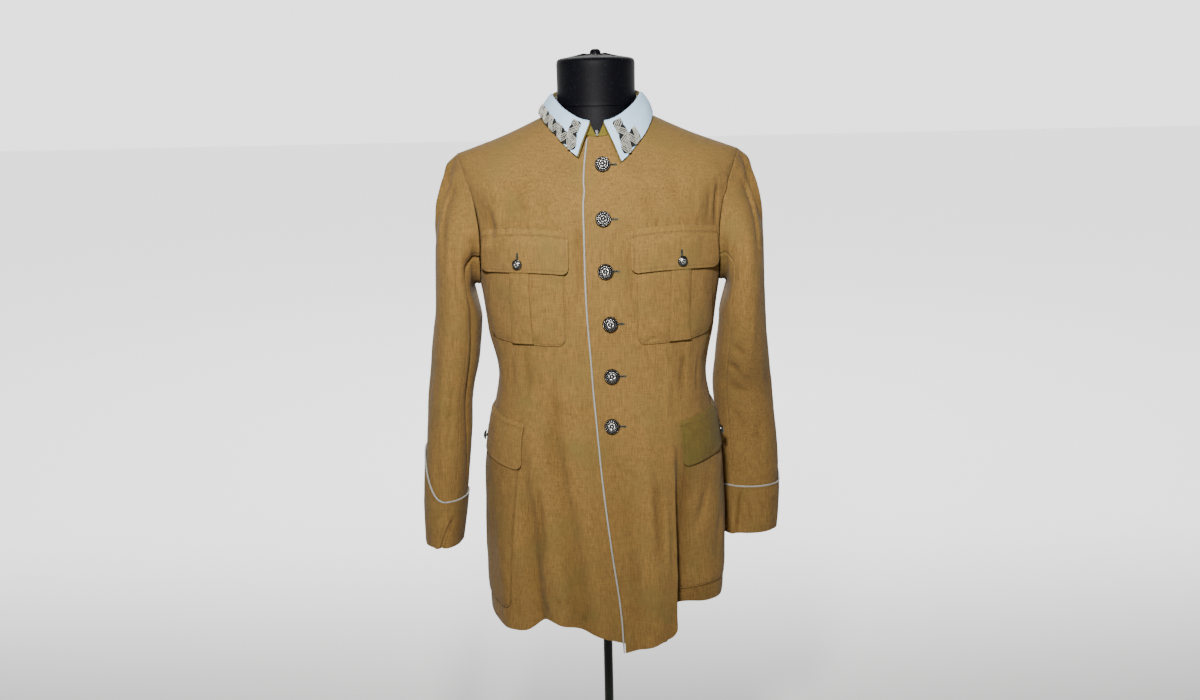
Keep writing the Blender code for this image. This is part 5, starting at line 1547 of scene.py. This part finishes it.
def breast_flap(side, word, order):
    """Flap over a breast pocket, sewn along its top and loose below."""
    across = patch_shares(72, 0.045)
    down = patch_shares(38, 0.05)
    bow = 4.0 * across * (1.0 - across)
    top = (BREAST_FLAP_TOP + 0.006 * bow)[order]
    foot = (BREAST_FLAP_FOOT + 0.004 * bow + 0.012 * corner_cut(across, 0.09))[order]
    x, _ = np.meshgrid(breast_x(side, across, BREAST_INNER - BREAST_FLAP_LAP,
                                BREAST_OUTER + BREAST_FLAP_LAP), down)
    height = top[None, :] + (foot - top)[None, :] * down[:, None]
    angle, level = place_on_front(x, height)
    share, run = np.meshgrid(across, down)
    below = (top[None, :] - height)
    near, low = edge_gap(share, run, BREAST_OUTER - BREAST_INNER + 0.014, 0.070)
    lift, hollow = flap_relief(below, np.minimum(near, low), 0.0105, BREAST_FLAP_HIGH,
                               rumple(x * 1.2, height, 0.028, 81 + side))
    pull = np.clip(rumple(x * 2.6, height * 0.7, 0.014, 84 + side), -0.3, 1.0)
    lift = lift - 0.0007 * pull * bell(below - 0.016, 0.006)
    made = body_patch("breast_flap_%s_cloth" % word, angle, level, lift, KHAKI, hollow,
                      sewn=(5, 7, 9))
    stand_in("breast_flap_" + word)


def flap_lift(below, seam_drop, high):
    """Lift of a flap: on the body at its sewn top, over the pocket below."""
    base = CLOTH + SEAM + 0.0021 * smooth(below / (seam_drop * 0.9))
    return base + (high - base) * smooth((below - seam_drop) / 0.016)


def hip_pocket(side, word):
    """Hip pocket wrapped round the side seam, and its slanted flap."""
    front_top, front_foot = HIP_FRONT[side]
    width = front_top - HIP_BACK
    across = patch_shares(84, 0.03)
    order = slice(None) if side < 0 else slice(None, None, -1)
    share, run = np.meshgrid(across[order], patch_shares(96, 0.015))
    foot = HIP_FOOT[side] + 0.016 * corner_cut(share, 0.07)
    height = HIP_TOP + HIP_FLAP_RISE * share * 0.6 + (foot - HIP_TOP) * run
    away = front_top - width * share + (front_foot - front_top) * run * (1.0 - smooth(share / 0.4))
    angle = away if side > 0 else RIGHT_SIDE - away
    near, low = edge_gap(share, run, width * DEGREE, HIP_TOP - HIP_FOOT[side])
    gap = np.minimum(near, low)
    wave = rumple(away * DEGREE, height, 0.034, 91 + side)
    pucker = rumple((away * DEGREE + height) * 3.0, height - away * DEGREE, 0.013, 94 + side)
    lift, stitch = pocket_relief(gap, 0.0009, 0.014, wave, pucker)
    # Painted shade: a shadow at the left pocket's front edge, under the fold of the front, and the whole
    # right pocket a quarter darker; both add to the stitch groove's painted shade.
    pocket_dark = 0.7 * (1.0 - smooth(share / 0.12)) if side > 0 else 0.25
    pocket = body_patch("hip_pocket_%s_cloth" % word, angle, level_at(angle, height), lift, KHAKI,
                        0.9 * stitch + pocket_dark, sewn=(2, 2, 0))
    stand_in("hip_pocket_" + word)

    share, run = np.meshgrid(across[order], patch_shares(34, 0.05))
    top = HIP_FLAP_FRONT + HIP_FLAP_RISE * share
    foot = top - HIP_FLAP_HEIGHT + 0.014 * corner_cut(share, 0.07) + 0.010 * share
    height = top + (foot - top) * run
    away = front_top - width * share + HIP_FLAP_LAP * (1.0 - 2.0 * share)
    angle = away if side > 0 else RIGHT_SIDE - away
    below = top - height
    near, low = edge_gap(share, run, width * DEGREE, HIP_FLAP_HEIGHT)
    lift, hollow = flap_relief(below, np.minimum(near, low), 0.0085, HIP_FLAP_HIGH,
                               rumple(away * DEGREE, height, 0.030, 97 + side))
    flap = body_patch("hip_flap_%s_cloth" % word, angle, level_at(angle, height), lift,
                      GREEN_KHAKI if side > 0 else KHAKI, hollow, sewn=(4, 6, 7))
    stand_in("hip_flap_" + word)


def turn_to(normal):
    """Matrix whose third column is a direction and whose second points up."""
    side = unit(np.cross(np.array((0.0, 0.0, 1.0)), normal))
    return np.stack((side, np.cross(normal, side), normal), axis=1)


def petals(turn, count):
    """Height share of leaves laid round a circle: lobes with a rib each."""
    place = np.mod(turn * count / (2.0 * math.pi), 1.0) - 0.5
    return np.sqrt(np.clip(1.0 - (2.0 * place) ** 2, 0.0, 1.0)) - 0.25 * bell(place, 0.08)


def button(name, node, radius, point, normal, segments, shank):
    """Domed button with a plain device: a boss in a ring of leaves, rope rim."""
    radii = np.concatenate(([0.0], np.linspace(0.04, 0.86, 30), np.linspace(0.88, 1.0, 7)))
    turn = circle_turns(segments)
    share, around = np.meshgrid(radii, turn, indexing="ij")
    dome = radius * 0.36 * np.sqrt(np.clip(1.0 - (share / 0.96) ** 2, 0.0, 1.0))
    boss = np.sqrt(np.clip(1.0 - (share / 0.17) ** 2, 0.0, 1.0)) * 0.10
    inner = np.clip(1.3 - np.abs(share - 0.40) / 0.15, 0.0, 1.0) * petals(around, 5) * 0.10
    outer = np.clip(1.0 - np.abs(share - 0.68) / 0.10, 0.0, 1.0) * petals(around + 0.26, 15) * 0.07
    rope = bell(share - 0.90, 0.045) * (0.055 + 0.030 * np.sin(36.0 * around + 24.0 * share))
    detail = boss + inner + outer + rope
    height = shank + radius * 0.10 + dome + radius * detail
    deep = np.clip(1.15 - detail / 0.05, 0.0, 1.0) * (share > 0.10)
    deep = np.maximum(deep, bell(share - 0.80, 0.03))
    under = [(1.0, shank + radius * 0.02), (0.96, shank), (0.34, shank - 0.0002), (0.30, 0.0002)]
    extra = np.array([[(r * radius, h, d)] for (r, h), d in zip(under, (0.2, 0.7, 1.0, 1.0))])
    wide = np.concatenate((share * radius, np.repeat(extra[:, :, 0], segments, axis=1)))
    tall = np.concatenate((height, np.repeat(extra[:, :, 1], segments, axis=1)))
    dark = np.concatenate((deep, np.repeat(extra[:, :, 2], segments, axis=1)))
    spin = np.broadcast_to(turn, wide.shape)
    local = np.stack((wide * np.cos(spin), wide * np.sin(spin), tall), axis=-1)
    frame_turn = turn_to(normal)
    points = local @ frame_turn.T + point
    index = np.arange(points.shape[0] * segments).reshape(points.shape[0], segments)
    made = make_mesh(name, points.reshape(-1, 3), quads(index, True)[:, ::-1], SILVER, 38.0,
                     None, dark)
    stand_in(node)


def keyhole(name, place, run, normal, length):
    """Buttonhole: a slit of painted shade, a near black disk on the cloth, with thread sewn round it and a
    round eye.
    """
    side = np.cross(normal, run)
    turn = np.linspace(0.0, 2.0 * math.pi, HOLE_POINTS + 1)[:-1]
    along = np.cos(turn) * length * 0.5
    wide = 0.0014 + 0.0007 * smooth((along / length - 0.25) / 0.2)
    outline = place + run * along[:, None] + side * (np.sin(turn) * wide)[:, None]
    outline = outline + normal * 0.0003
    outward = side[None] * np.sign(np.sin(turn) + 1e-6)[:, None] + run[None] * (np.cos(turn) ** 9)[:, None]
    normals = np.repeat(normal[None], HOLE_POINTS, axis=0)
    stitches = threads(name + "_thread", outline, outward, normals, 0.0019, 0.00032, THREAD_GREEN)
    slit_wide = np.sin(turn)[:, None] * (wide * 0.55)[:, None]
    ring = place + run * along[:, None] * 0.92 + side * slit_wide + normal * 0.0002
    points = np.concatenate((ring, (place + normal * 0.0002)[None], ring - normal * 0.0006,
                             (place - normal * 0.0004)[None]))
    first = np.arange(HOLE_POINTS)
    after = np.roll(first, -1)
    under = HOLE_POINTS + 1
    top = np.stack((first, after, np.full(HOLE_POINTS, HOLE_POINTS)), axis=-1)
    low = np.stack((after + under, first + under, np.full(HOLE_POINTS, under + HOLE_POINTS)), axis=-1)
    wall_one = np.stack((after, first, first + under), axis=-1)
    wall_two = np.stack((after, first + under, after + under), axis=-1)
    slit = make_mesh(name + "_slit", points, np.concatenate((top, low, wall_one, wall_two)), SLIT_SHADE)


def buttons():
    """Six front buttons, two on the breast flaps, two on the hip flaps."""
    for index, (height, x) in enumerate(FRONT_BUTTONS):
        angle, level = place_on_front(x, height)
        point, normal = dressed(angle, level)
        button("button_front_%d_silver" % (index + 1), "button_front_%d" % (index + 1), BIG_BUTTON,
               point, normal, *BIG_BUTTON_MAKE)
        hole_angle, hole_level = place_on_front(x + BIG_BUTTON + 0.0035, height - 0.0005)
        place, hole_normal = dressed(hole_angle, hole_level)
        run = unit(np.cross(np.array((0.02, 0.0, 1.0)), hole_normal)) * -1.0
        keyhole("buttonhole_front_%d" % (index + 1), place, run, hole_normal, 0.0130)
    for side, word in SIDES:
        angle, level = place_on_front(side * BREAST_BUTTON_X, BREAST_BUTTON_HEIGHT)
        point, normal = dressed(angle, level, BREAST_FLAP_HIGH)
        button("button_breast_%s_silver" % word, "button_breast_" + word, SMALL_BUTTON, point,
               normal, *SMALL_BUTTON_MAKE)
        hole_angle, hole_level = place_on_front(side * BREAST_BUTTON_X, BREAST_BUTTON_HEIGHT + HOLE_RISE)
        place, hole_normal = dressed(hole_angle, hole_level, BREAST_FLAP_HIGH)
        run = unit(np.array((0.0, 0.0, 1.0)) - hole_normal * hole_normal[2])
        keyhole("buttonhole_breast_" + word, place, run, hole_normal, 0.0110)
        angle = np.asarray(HIP_BUTTON_ANGLE if side > 0 else RIGHT_SIDE - HIP_BUTTON_ANGLE)
        point, normal = dressed(angle, level_at(angle, HIP_BUTTON_HEIGHT), HIP_FLAP_HIGH)
        button("button_hip_%s_silver" % word, "button_hip_" + word, SMALL_BUTTON, point, normal,
               *SMALL_BUTTON_MAKE)
        level = level_at(angle, HIP_BUTTON_HEIGHT + HOLE_RISE)
        place, hole_normal = dressed(angle, level, HIP_FLAP_HIGH)
        run = unit(np.array((0.0, 0.0, 1.0)) - hole_normal * hole_normal[2])
        keyhole("buttonhole_hip_" + word, place, run, hole_normal, 0.0110)


def torso_ring(level):
    """Ring of the dress form: the body's ring, drawn in by the jacket's ease."""
    angle = np.linspace(0.0, 360.0, 121)[:-1]
    levels = np.full(angle.shape, level)
    base = body_point(angle, levels)
    normal = surface_normal(angle, levels)
    ease = 0.0035 + 0.016 * (1.0 - smooth((level - 8.6) / 1.2))
    side = np.abs(np.cos(np.radians(angle)))
    arm = 0.016 * smooth((side - 0.75) / 0.2) * smooth((level - 5.0) / 2.0)
    arm = arm * (1.0 - smooth((level - 9.0) / 0.6))
    skirt = np.maximum(fold_out(angle, levels), 0.0) + 0.020 * smooth((3.2 - level) / 2.0)
    lap = 0.0046 * np.exp(-((angle - FRONT) / 46.0) ** 6)
    return base - normal * (ease + arm + skirt + lap)[:, None]


def dress_form():
    """Torso and neck under black jersey, on a pole with a round base."""
    turn = np.linspace(0.0, 2.0 * math.pi, 121)[:-1]
    circle = np.stack((np.cos(turn), -np.sin(turn), np.zeros(turn.shape)), axis=-1)
    rings = []
    for height, wide, deep, rise in ((NECK_SEAM_HEIGHT, 0.0600, 0.0595, 0.0),
                                     (NECK_SEAM_HEIGHT, 0.0640, 0.0635, 0.0),
                                     (NECK_SEAM_HEIGHT - 0.0015, 0.0645, 0.0642, 0.0),
                                     (1.466, 0.0655, 0.0660, 0.005), (1.458, 0.0665, 0.0680, 0.010)):
        ring = circle * np.array((wide, deep, 0.0))
        ring[:, 2] = height + rise * circle[:, 1]
        rings.append(ring)
    shoulder_levels = (10.75, 10.5, 10.3, 10.05, 9.8, 9.6, 9.4, 9.2)
    for level in np.concatenate((shoulder_levels, np.linspace(9.0, 1.4, 56))):
        rings.append(torso_ring(level))
    last = torso_ring(1.1)
    last[:, 2] = TORSO_BOTTOM
    inner = last * np.array((0.94, 0.94, 1.0))
    rings += [last, inner]
    torso = loft("form_torso_jersey", np.array(rings), JERSEY)
    stand_in("form_torso")

    profile = [(0.0075, NECK_TOP + 0.0016), (0.012, NECK_TOP + 0.0020), (0.020, NECK_TOP + 0.0020),
               (0.032, NECK_TOP + 0.0018), (0.046, NECK_TOP + 0.0010), (0.055, NECK_TOP - 0.0002),
               (0.0600, NECK_TOP - 0.0016), (0.0625, NECK_TOP - 0.0036), (0.0637, NECK_TOP - 0.0066),
               (0.0641, NECK_TOP - 0.0110)]
    profile += [(0.0640 - 0.0004 * math.sin(step / 14.0 * math.pi) + 0.0004 * step / 14.0,
                 NECK_TOP - 0.018 - step * 0.0041) for step in range(14)]
    profile += [(0.0648, NECK_SEAM_HEIGHT + 0.0022), (0.0650, NECK_SEAM_HEIGHT + 0.0010),
                (0.0640, NECK_SEAM_HEIGHT + SEAM)]
    profile = np.array(profile)
    chance = np.random.default_rng(7)
    waves = [(count, chance.uniform(0.0, 6.28), chance.uniform(0.4, 1.0)) for count in (9, 14, 23, 31, 43)]

    def gathers(radius, around):
        """Lumpy gathers that run from the knob to the rim of the neck's top."""
        total = sum(size * np.sin(count * around + start + 2.0 * np.sin(3.0 * around + start))
                    for count, start, size in waves)
        near = bell(radius - 0.018, 0.016)
        return (0.0010 * total + 0.0022) * near
    neck_grid = turned_grid(profile, 168, gathers)
    neck = loft("form_neck_jersey", neck_grid, JERSEY)
    stand_in("form_neck")

    knob = [(0.0020, 0.0118), (0.0048, 0.0112), (0.0074, 0.0094), (0.0088, 0.0070), (0.0090, 0.0050),
            (0.0086, 0.0030), (0.0094, 0.0014)]

    def pleats(radius, around):
        """Small tucks round the tied knob."""
        return 0.0006 * np.sin(9.0 * around + 2.0 * np.sin(2.0 * around)) * smooth(radius / 0.006)
    knob_profile = np.array(knob)
    knob_profile[:, 1] += NECK_TOP + 0.0020
    tied = loft("form_knob_jersey", turned_grid(knob_profile, 72, pleats), JERSEY)
    stand_in("form_knob")

    top = TORSO_BOTTOM - SEAM
    low = top - SOCKET_HEIGHT
    socket_rows = [(0.0090, low), (0.0205, low), (0.0222, low + 0.0012),
                   (0.0228, top - 0.030), (0.0245, top - 0.012), (0.0258, top - 0.0080),
                   (0.0260, top - 0.0060), (0.0260, top - 0.0006), (0.0254, top)]
    socket = loft("form_socket_turned", turned_grid(np.array(socket_rows[::-1]), 64), PAINT)
    stand_in("form_socket")
    foot = BASE_HEIGHT + SEAM
    pole_rows = [(POLE_RADIUS, top - SOCKET_HEIGHT - SEAM), (POLE_RADIUS, 0.40), (POLE_RADIUS, 0.030),
                 (POLE_RADIUS + 0.0010, foot + 0.012), (POLE_RADIUS + 0.0022, foot + 0.006),
                 (POLE_RADIUS + 0.0060, foot + 0.002), (POLE_RADIUS + 0.0080, foot)]
    bar = loft("pole_turned", turned_grid(np.array(pole_rows), 48), PAINT)
    stand_in("pole")
    edge = []
    for step in range(7):
        angle = step / 6.0 * math.pi / 2.0
        edge.append((BASE_RADIUS - 0.0045 + 0.0045 * math.sin(angle),
                     BASE_HEIGHT - 0.0045 + 0.0045 * math.cos(angle)))
    base_rows = [(0.014, BASE_HEIGHT), (0.10, BASE_HEIGHT)] + edge
    base_rows += [(BASE_RADIUS, 0.0016), (BASE_RADIUS - 0.0006, 0.0004), (BASE_RADIUS - 0.0016, 0.0)]
    base = loft("base_turned", turned_grid(np.array(base_rows), 144), PAINT)
    stand_in("base")


def turned_grid(profile, segments, ripple=None):
    """Grid of a shape turned on the Z axis, with a ripple in its height."""
    turn = circle_turns(segments)
    radius = np.repeat(profile[:, :1], segments, axis=1)
    height = np.repeat(profile[:, 1:], segments, axis=1)
    around = np.broadcast_to(turn, radius.shape)
    if ripple is not None:
        height = height + ripple(radius, around)
    return np.stack((radius * np.cos(around), -radius * np.sin(around), height), axis=-1)


def loft(name, rings, look):
    """Closed solid through rings from the top down, with fan caps."""
    rows, columns = rings.shape[:2]
    index = np.arange(rows * columns).reshape(rows, columns)
    points = np.concatenate((rings.reshape(-1, 3), rings[0].mean(axis=0)[None],
                             rings[-1].mean(axis=0)[None]))
    body = quads(index, True)
    sides = np.concatenate((body[:, (0, 1, 2)], body[:, (0, 2, 3)]))
    after = np.roll(index, -1, axis=1)
    top = np.full(columns, rows * columns)
    caps = (np.stack((top, after[0], index[0]), axis=-1),
            np.stack((top + 1, index[-1], after[-1]), axis=-1))
    return make_mesh(name, points, np.concatenate((sides, *caps)), look, 40.0)


def hook_and_eye():
    """Wire hook and eye that close the stand."""
    point, _ = stand_point(np.array((0.0, 1.0)), np.array((0.32, 0.32)))
    middle = point.mean(axis=0) + np.array((0.0, -0.0022, 0.0))
    turn = np.linspace(0.0, 2.0 * math.pi, 25)[:-1]
    eye = np.stack((0.0016 * np.cos(turn), np.zeros(24), 0.0016 * np.sin(turn) + 0.0024), axis=-1)
    bar = [(0.0013, 0.0, 0.0012), (0.0011, -0.0001, -0.0004), (0.0004, -0.0006, -0.0016),
           (-0.0004, -0.0006, -0.0016), (-0.0011, -0.0001, -0.0004), (-0.0013, 0.0, 0.0012)]
    loops = [(eye, True), (np.array(bar), False),
             (eye + np.array((0.0, 0.0004, -0.0052)), True)]
    first = None
    for index, (path, closed) in enumerate(loops):
        wire = tube("collar_hook_wire_%d" % (index + 1), path + middle, 0.00038, SILVER_WIRE, closed, 8)
        first = first or wire
    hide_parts("collar_hook")


def sewn_line(name, points, normals, look, pitch=0.0030, radius=0.00026):
    """Row of stitches along a line of points on the cloth."""
    centres, along = even_places(points, pitch)
    distance = run_along(points)
    count = len(centres)
    where = (np.arange(count) + 0.5) * distance[-1] / count
    out = np.stack([np.interp(where, distance, normals[:, k]) for k in range(3)], axis=1)
    made = threads(name, centres + out * radius * 0.2, along, out, pitch * 0.72, radius, look)
    return made


# Matt brown wool of most of the jacket, with slow greener patches.
KHAKI = wool("khaki_wool", "#90713D", "#5C4526", "#6B5E32")
# Greener wool of the left hip flap and the collar's fall.
GREEN_KHAKI = wool("greener_khaki_wool", "#74622F", "#4B3E1C", "#5A5628")
# Plain olive cloth of the stand, seen inside the open neck.
OLIVE = felt("olive_collar_cloth", "#7A6E26", "#544C18", 0.0013)
# Pale blue patches: the one cold colour on the jacket.
FELT = felt("pale_blue_felt", "#C6E4FE", "#AED0EE", 0.0016, 0.95, 0.03)
# Near black ground under the strands: painted shade in the gaps between them, so that each of them reads.
BRAID_SHADE = felt("braid_gaps_painted_shade", "#1E1F20", "#121314", 0.0010)
# Dull silver yarn with a little gloss.
BRAID_LIGHT = felt("silver_braid_strands", "#C6C5BA", "#90908A", 0.0009, 0.55, 0.03)
# Pale grey cord that draws the front edge and the cuffs.
PIPING = felt("grey_corded_piping", "#A9A9A4", "#84847F", 0.0010)
# White metal of the buttons, blackened in its hollows.
SILVER = aged_silver("aged_silver")
# Pale wire of the hook.
SILVER_WIRE = felt("bright_wire", "#D8D8D6", "#A8A8A6", 0.002, 0.3, 0.0)
# Black knit of the dress form, almost without a sheen.
JERSEY = jersey("black_jersey")
# Satin dark green of the socket, the pole and the base.
PAINT = paint("dark_green_paint")
# Stitches a shade off the wool, seen as a broken line.
THREAD = felt("khaki_thread", "#8E703E", "#6E5430", 0.0010, 0.7)
# Dark green thread that rims the buttonholes.
THREAD_GREEN = felt("dark_green_thread", "#3A4430", "#242C1E", 0.0010, 0.7)
# Painted shade of the slit in a buttonhole.
SLIT_SHADE = felt("slit_painted_shade", "#0E0D0A", "#070605", 0.0020)

body_panels()
for make in (sleeve, cuff):
    for one_side, side_word in SIDES:
        make(one_side, side_word)
front_piping()
collar()
for make in (braid, breast_pocket, hip_pocket):
    for one_side, side_word in SIDES:
        make(one_side, side_word)
buttons()
hook_and_eye()
dress_form()


# Cut of each cloth: width, length, flat area, how it is held, what it lies on,
# pieces on it.
CUTS = {
    "front_left_cloth": (0.340, 0.900, 0.230, "draped", "form_torso", ("front_piping_cord",)),
    "front_right_cloth": (0.400, 0.890, 0.280, "draped", "form_torso", ()),
    "back_left_cloth": (0.330, 0.880, 0.221, "draped", "form_torso", ()),
    "back_right_cloth": (0.330, 0.880, 0.221, "draped", "form_torso", ()),
    "sleeve_left_cloth": (0.420, 0.660, 0.202, "hung", "front_left_cloth", ()),
    "sleeve_right_cloth": (0.420, 0.650, 0.202, "hung", "front_right_cloth", ()),
    "cuff_left_cloth": (0.330, 0.160, 0.032, "laid", "sleeve_left_cloth", ("cuff_piping_left_cord",)),
    "cuff_right_cloth": (0.330, 0.175, 0.036, "laid", "sleeve_right_cloth", ("cuff_piping_right_cord",)),
    "collar_stand_cloth": (0.430, 0.030, 0.0112, "laid", "front_left_cloth", ("collar_hook_wire_1",)),
    "collar_fall_cloth": (0.480, 0.075, 0.0290, "folded", "collar_stand_cloth", ()),
}
PAIRED_CUTS = {
    "collar_patch_%s_cloth": (0.125, 0.060, 0.0068, "laid", "collar_fall_cloth", ()),
    "collar_braid_%s_front_ground": (0.016, 0.050, None, "laid", "collar_patch_%s_cloth",
                                     ("collar_braid_%s_front_strands",)),
    "breast_pocket_%s_cloth": (0.135, 0.190, None, "laid", "front_%s_cloth", ()),
    "breast_pleat_%s_cloth": (0.036, 0.180, None, "laid", "breast_pocket_%s_cloth", ()),
    "breast_flap_%s_cloth": (0.150, 0.077, None, "laid", "breast_pocket_%s_cloth",
                             ("button_breast_%s_silver",)),
    "hip_pocket_%s_cloth": (0.235, 0.285, None, "laid", "front_%s_cloth", ()),
    "hip_flap_%s_cloth": (0.235, 0.072, None, "laid", "hip_pocket_%s_cloth", ("button_hip_%s_silver",)),
}
BRAID_CUTS = {"right": 0.108, "left": 0.037}


def declare_cuts():
    """Gather the flat size each cloth was cut to in a table, which nothing uses."""
    cuts = dict(CUTS)
    for word in ("left", "right"):
        for name, (width, length, area, held, under, on_it) in PAIRED_CUTS.items():
            under = under.replace("%s", word)
            on_it = tuple(piece % word for piece in on_it)
            cuts[name % word] = (width, length, area, held, under, on_it)
        cuts["collar_braid_%s_low_ground" % word] = (
            BRAID_WIDTH["low"], BRAID_CUTS[word], None, "laid", "collar_patch_%s_cloth" % word,
            ("collar_braid_%s_low_strands" % word,))


def studio_world():
    """Even white air, brighter before and behind than at the sides and above."""
    world = bpy.data.worlds.new("studio")
    world.use_nodes = True
    tree = world.node_tree
    heading = add(tree, "ShaderNodeTexCoord").outputs["Generated"]
    parts = add(tree, "ShaderNodeSeparateXYZ", {"Vector": heading})
    depth = add(tree, "ShaderNodeMath", {0: parts.outputs["Y"]}, operation="ABSOLUTE")
    bright = add(tree, "ShaderNodeMapRange", {"Value": depth.outputs[0], "From Min": 0.62,
                                              "From Max": 0.90, "To Min": 0.12, "To Max": 1.0},
                 interpolation_type="SMOOTHSTEP")
    behind = add(tree, "ShaderNodeMapRange", {"Value": parts.outputs["Y"], "From Min": -0.4,
                                              "From Max": 0.6, "To Min": 0.22, "To Max": 2.4},
                 interpolation_type="SMOOTHSTEP")
    bright = add(tree, "ShaderNodeMath", {0: bright.outputs[0], 1: behind.outputs[0]},
                 operation="MULTIPLY")
    tree.links.new(bright.outputs[0], tree.nodes["Background"].inputs["Strength"])
    tree.nodes["Background"].inputs["Color"].default_value = (1.0, 1.0, 1.0, 1.0)
    return world


FLOOR_HALF = 40.0
FLOOR_DROP = 0.0004
# Lamps: place, size, power, spread in degrees, tint, where it points. The
# first lights the jacket from the front, the second the floor behind it.
LAMPS = (((-0.14, -1.62, 2.05), 0.18, 21.0, 100.0, "#FFFDF8", (0.0, 0.0, 1.16)),
         ((0.0, 3.6, 4.2), 4.0, 220.0, 180.0, "#FFFFFF", (0.0, 5.5, 0.0)))


def floor_and_light():
    """A pale plain floor that runs to the horizon and glows as painted light, more the farther it lies, and
    soft light from the front.
    """
    made, tree, shader = new_material("pale_floor", 0.7, Specular_IOR_Level=0.2)
    place = add(tree, "ShaderNodeTexCoord").outputs["Object"]
    soft = noise(tree, place, 0.8, 2.0)
    tree.links.new(blend_colour(tree, soft, linear("#D0D0D0"), linear("#D8D8D8")),
                   shader.inputs["Base Color"])
    # Painted light: the floor glows, faintly near the form and more towards the horizon.
    shader.inputs["Emission Color"].default_value = (1.0, 1.0, 1.0, 1.0)
    away = add(tree, "ShaderNodeSeparateXYZ", {"Vector": place}).outputs["Y"]
    glow = add(tree, "ShaderNodeMapRange", {"Value": away, "From Min": 0.3, "From Max": 2.4,
                                            "To Min": 0.05, "To Max": 1.70},
               interpolation_type="SMOOTHSTEP")
    tree.links.new(glow.outputs[0], shader.inputs["Emission Strength"])
    corners = [(x * FLOOR_HALF, y * FLOOR_HALF, -FLOOR_DROP) for x, y in ((-1, -1), (1, -1), (1, 1), (-1, 1))]
    mesh = bpy.data.meshes.new("floor")
    mesh.from_pydata(corners, [], [(0, 1, 2, 3)])
    mesh.materials.append(made)
    floor = bpy.data.objects.new("floor", mesh)
    bpy.context.scene.collection.objects.link(floor)
    bpy.context.scene.world = studio_world()
    for index, (spot, size, power, spread_angle, tint, target) in enumerate(LAMPS):
        light = bpy.data.lights.new("soft_light_%d" % (index + 1), "AREA")
        light.size = size
        light.energy = power
        light.spread = math.radians(spread_angle)
        light.color = linear(tint)[:3]
        lamp = bpy.data.objects.new(light.name, light)
        back = unit(np.array(spot) - np.array(target))
        side = unit(np.cross((0.0, 0.0, 1.0), back))
        up = np.cross(back, side)
        lamp.matrix_world = Matrix([[side[k], up[k], back[k], spot[k]] for k in range(3)] + [[0, 0, 0, 1]])
        bpy.context.scene.collection.objects.link(lamp)


# The camera: place, tilt and lean in degrees, focal length on a 36 mm sensor.
CAMERA_SPOT = (0.0, -2.2, 1.50)
CAMERA_TILT = -11.14
CAMERA_LEAN = -1.25
CAMERA_LENS = 39.6


def camera():
    """The photo's camera: a little above the chest, looking down, leaning slightly."""
    data = bpy.data.cameras.new("camera")
    data.lens = CAMERA_LENS
    data.sensor_width = 36.0
    data.shift_x = -1.7 / 1200.0
    data.clip_end = 200.0
    made = bpy.data.objects.new("camera", data)
    tilt = math.radians(90.0 + CAMERA_TILT)
    roll = math.radians(CAMERA_LEAN)
    first = np.array(((1.0, 0.0, 0.0), (0.0, math.cos(tilt), -math.sin(tilt)),
                      (0.0, math.sin(tilt), math.cos(tilt))))
    second = np.array(((math.cos(roll), -math.sin(roll), 0.0),
                       (math.sin(roll), math.cos(roll), 0.0), (0.0, 0.0, 1.0)))
    turn = first @ second
    made.matrix_world = Matrix([[*turn[k], CAMERA_SPOT[k]] for k in range(3)] + [[0, 0, 0, 1]])
    bpy.context.scene.collection.objects.link(made)
    bpy.context.scene.camera = made


declare_cuts()
floor_and_light()
camera()
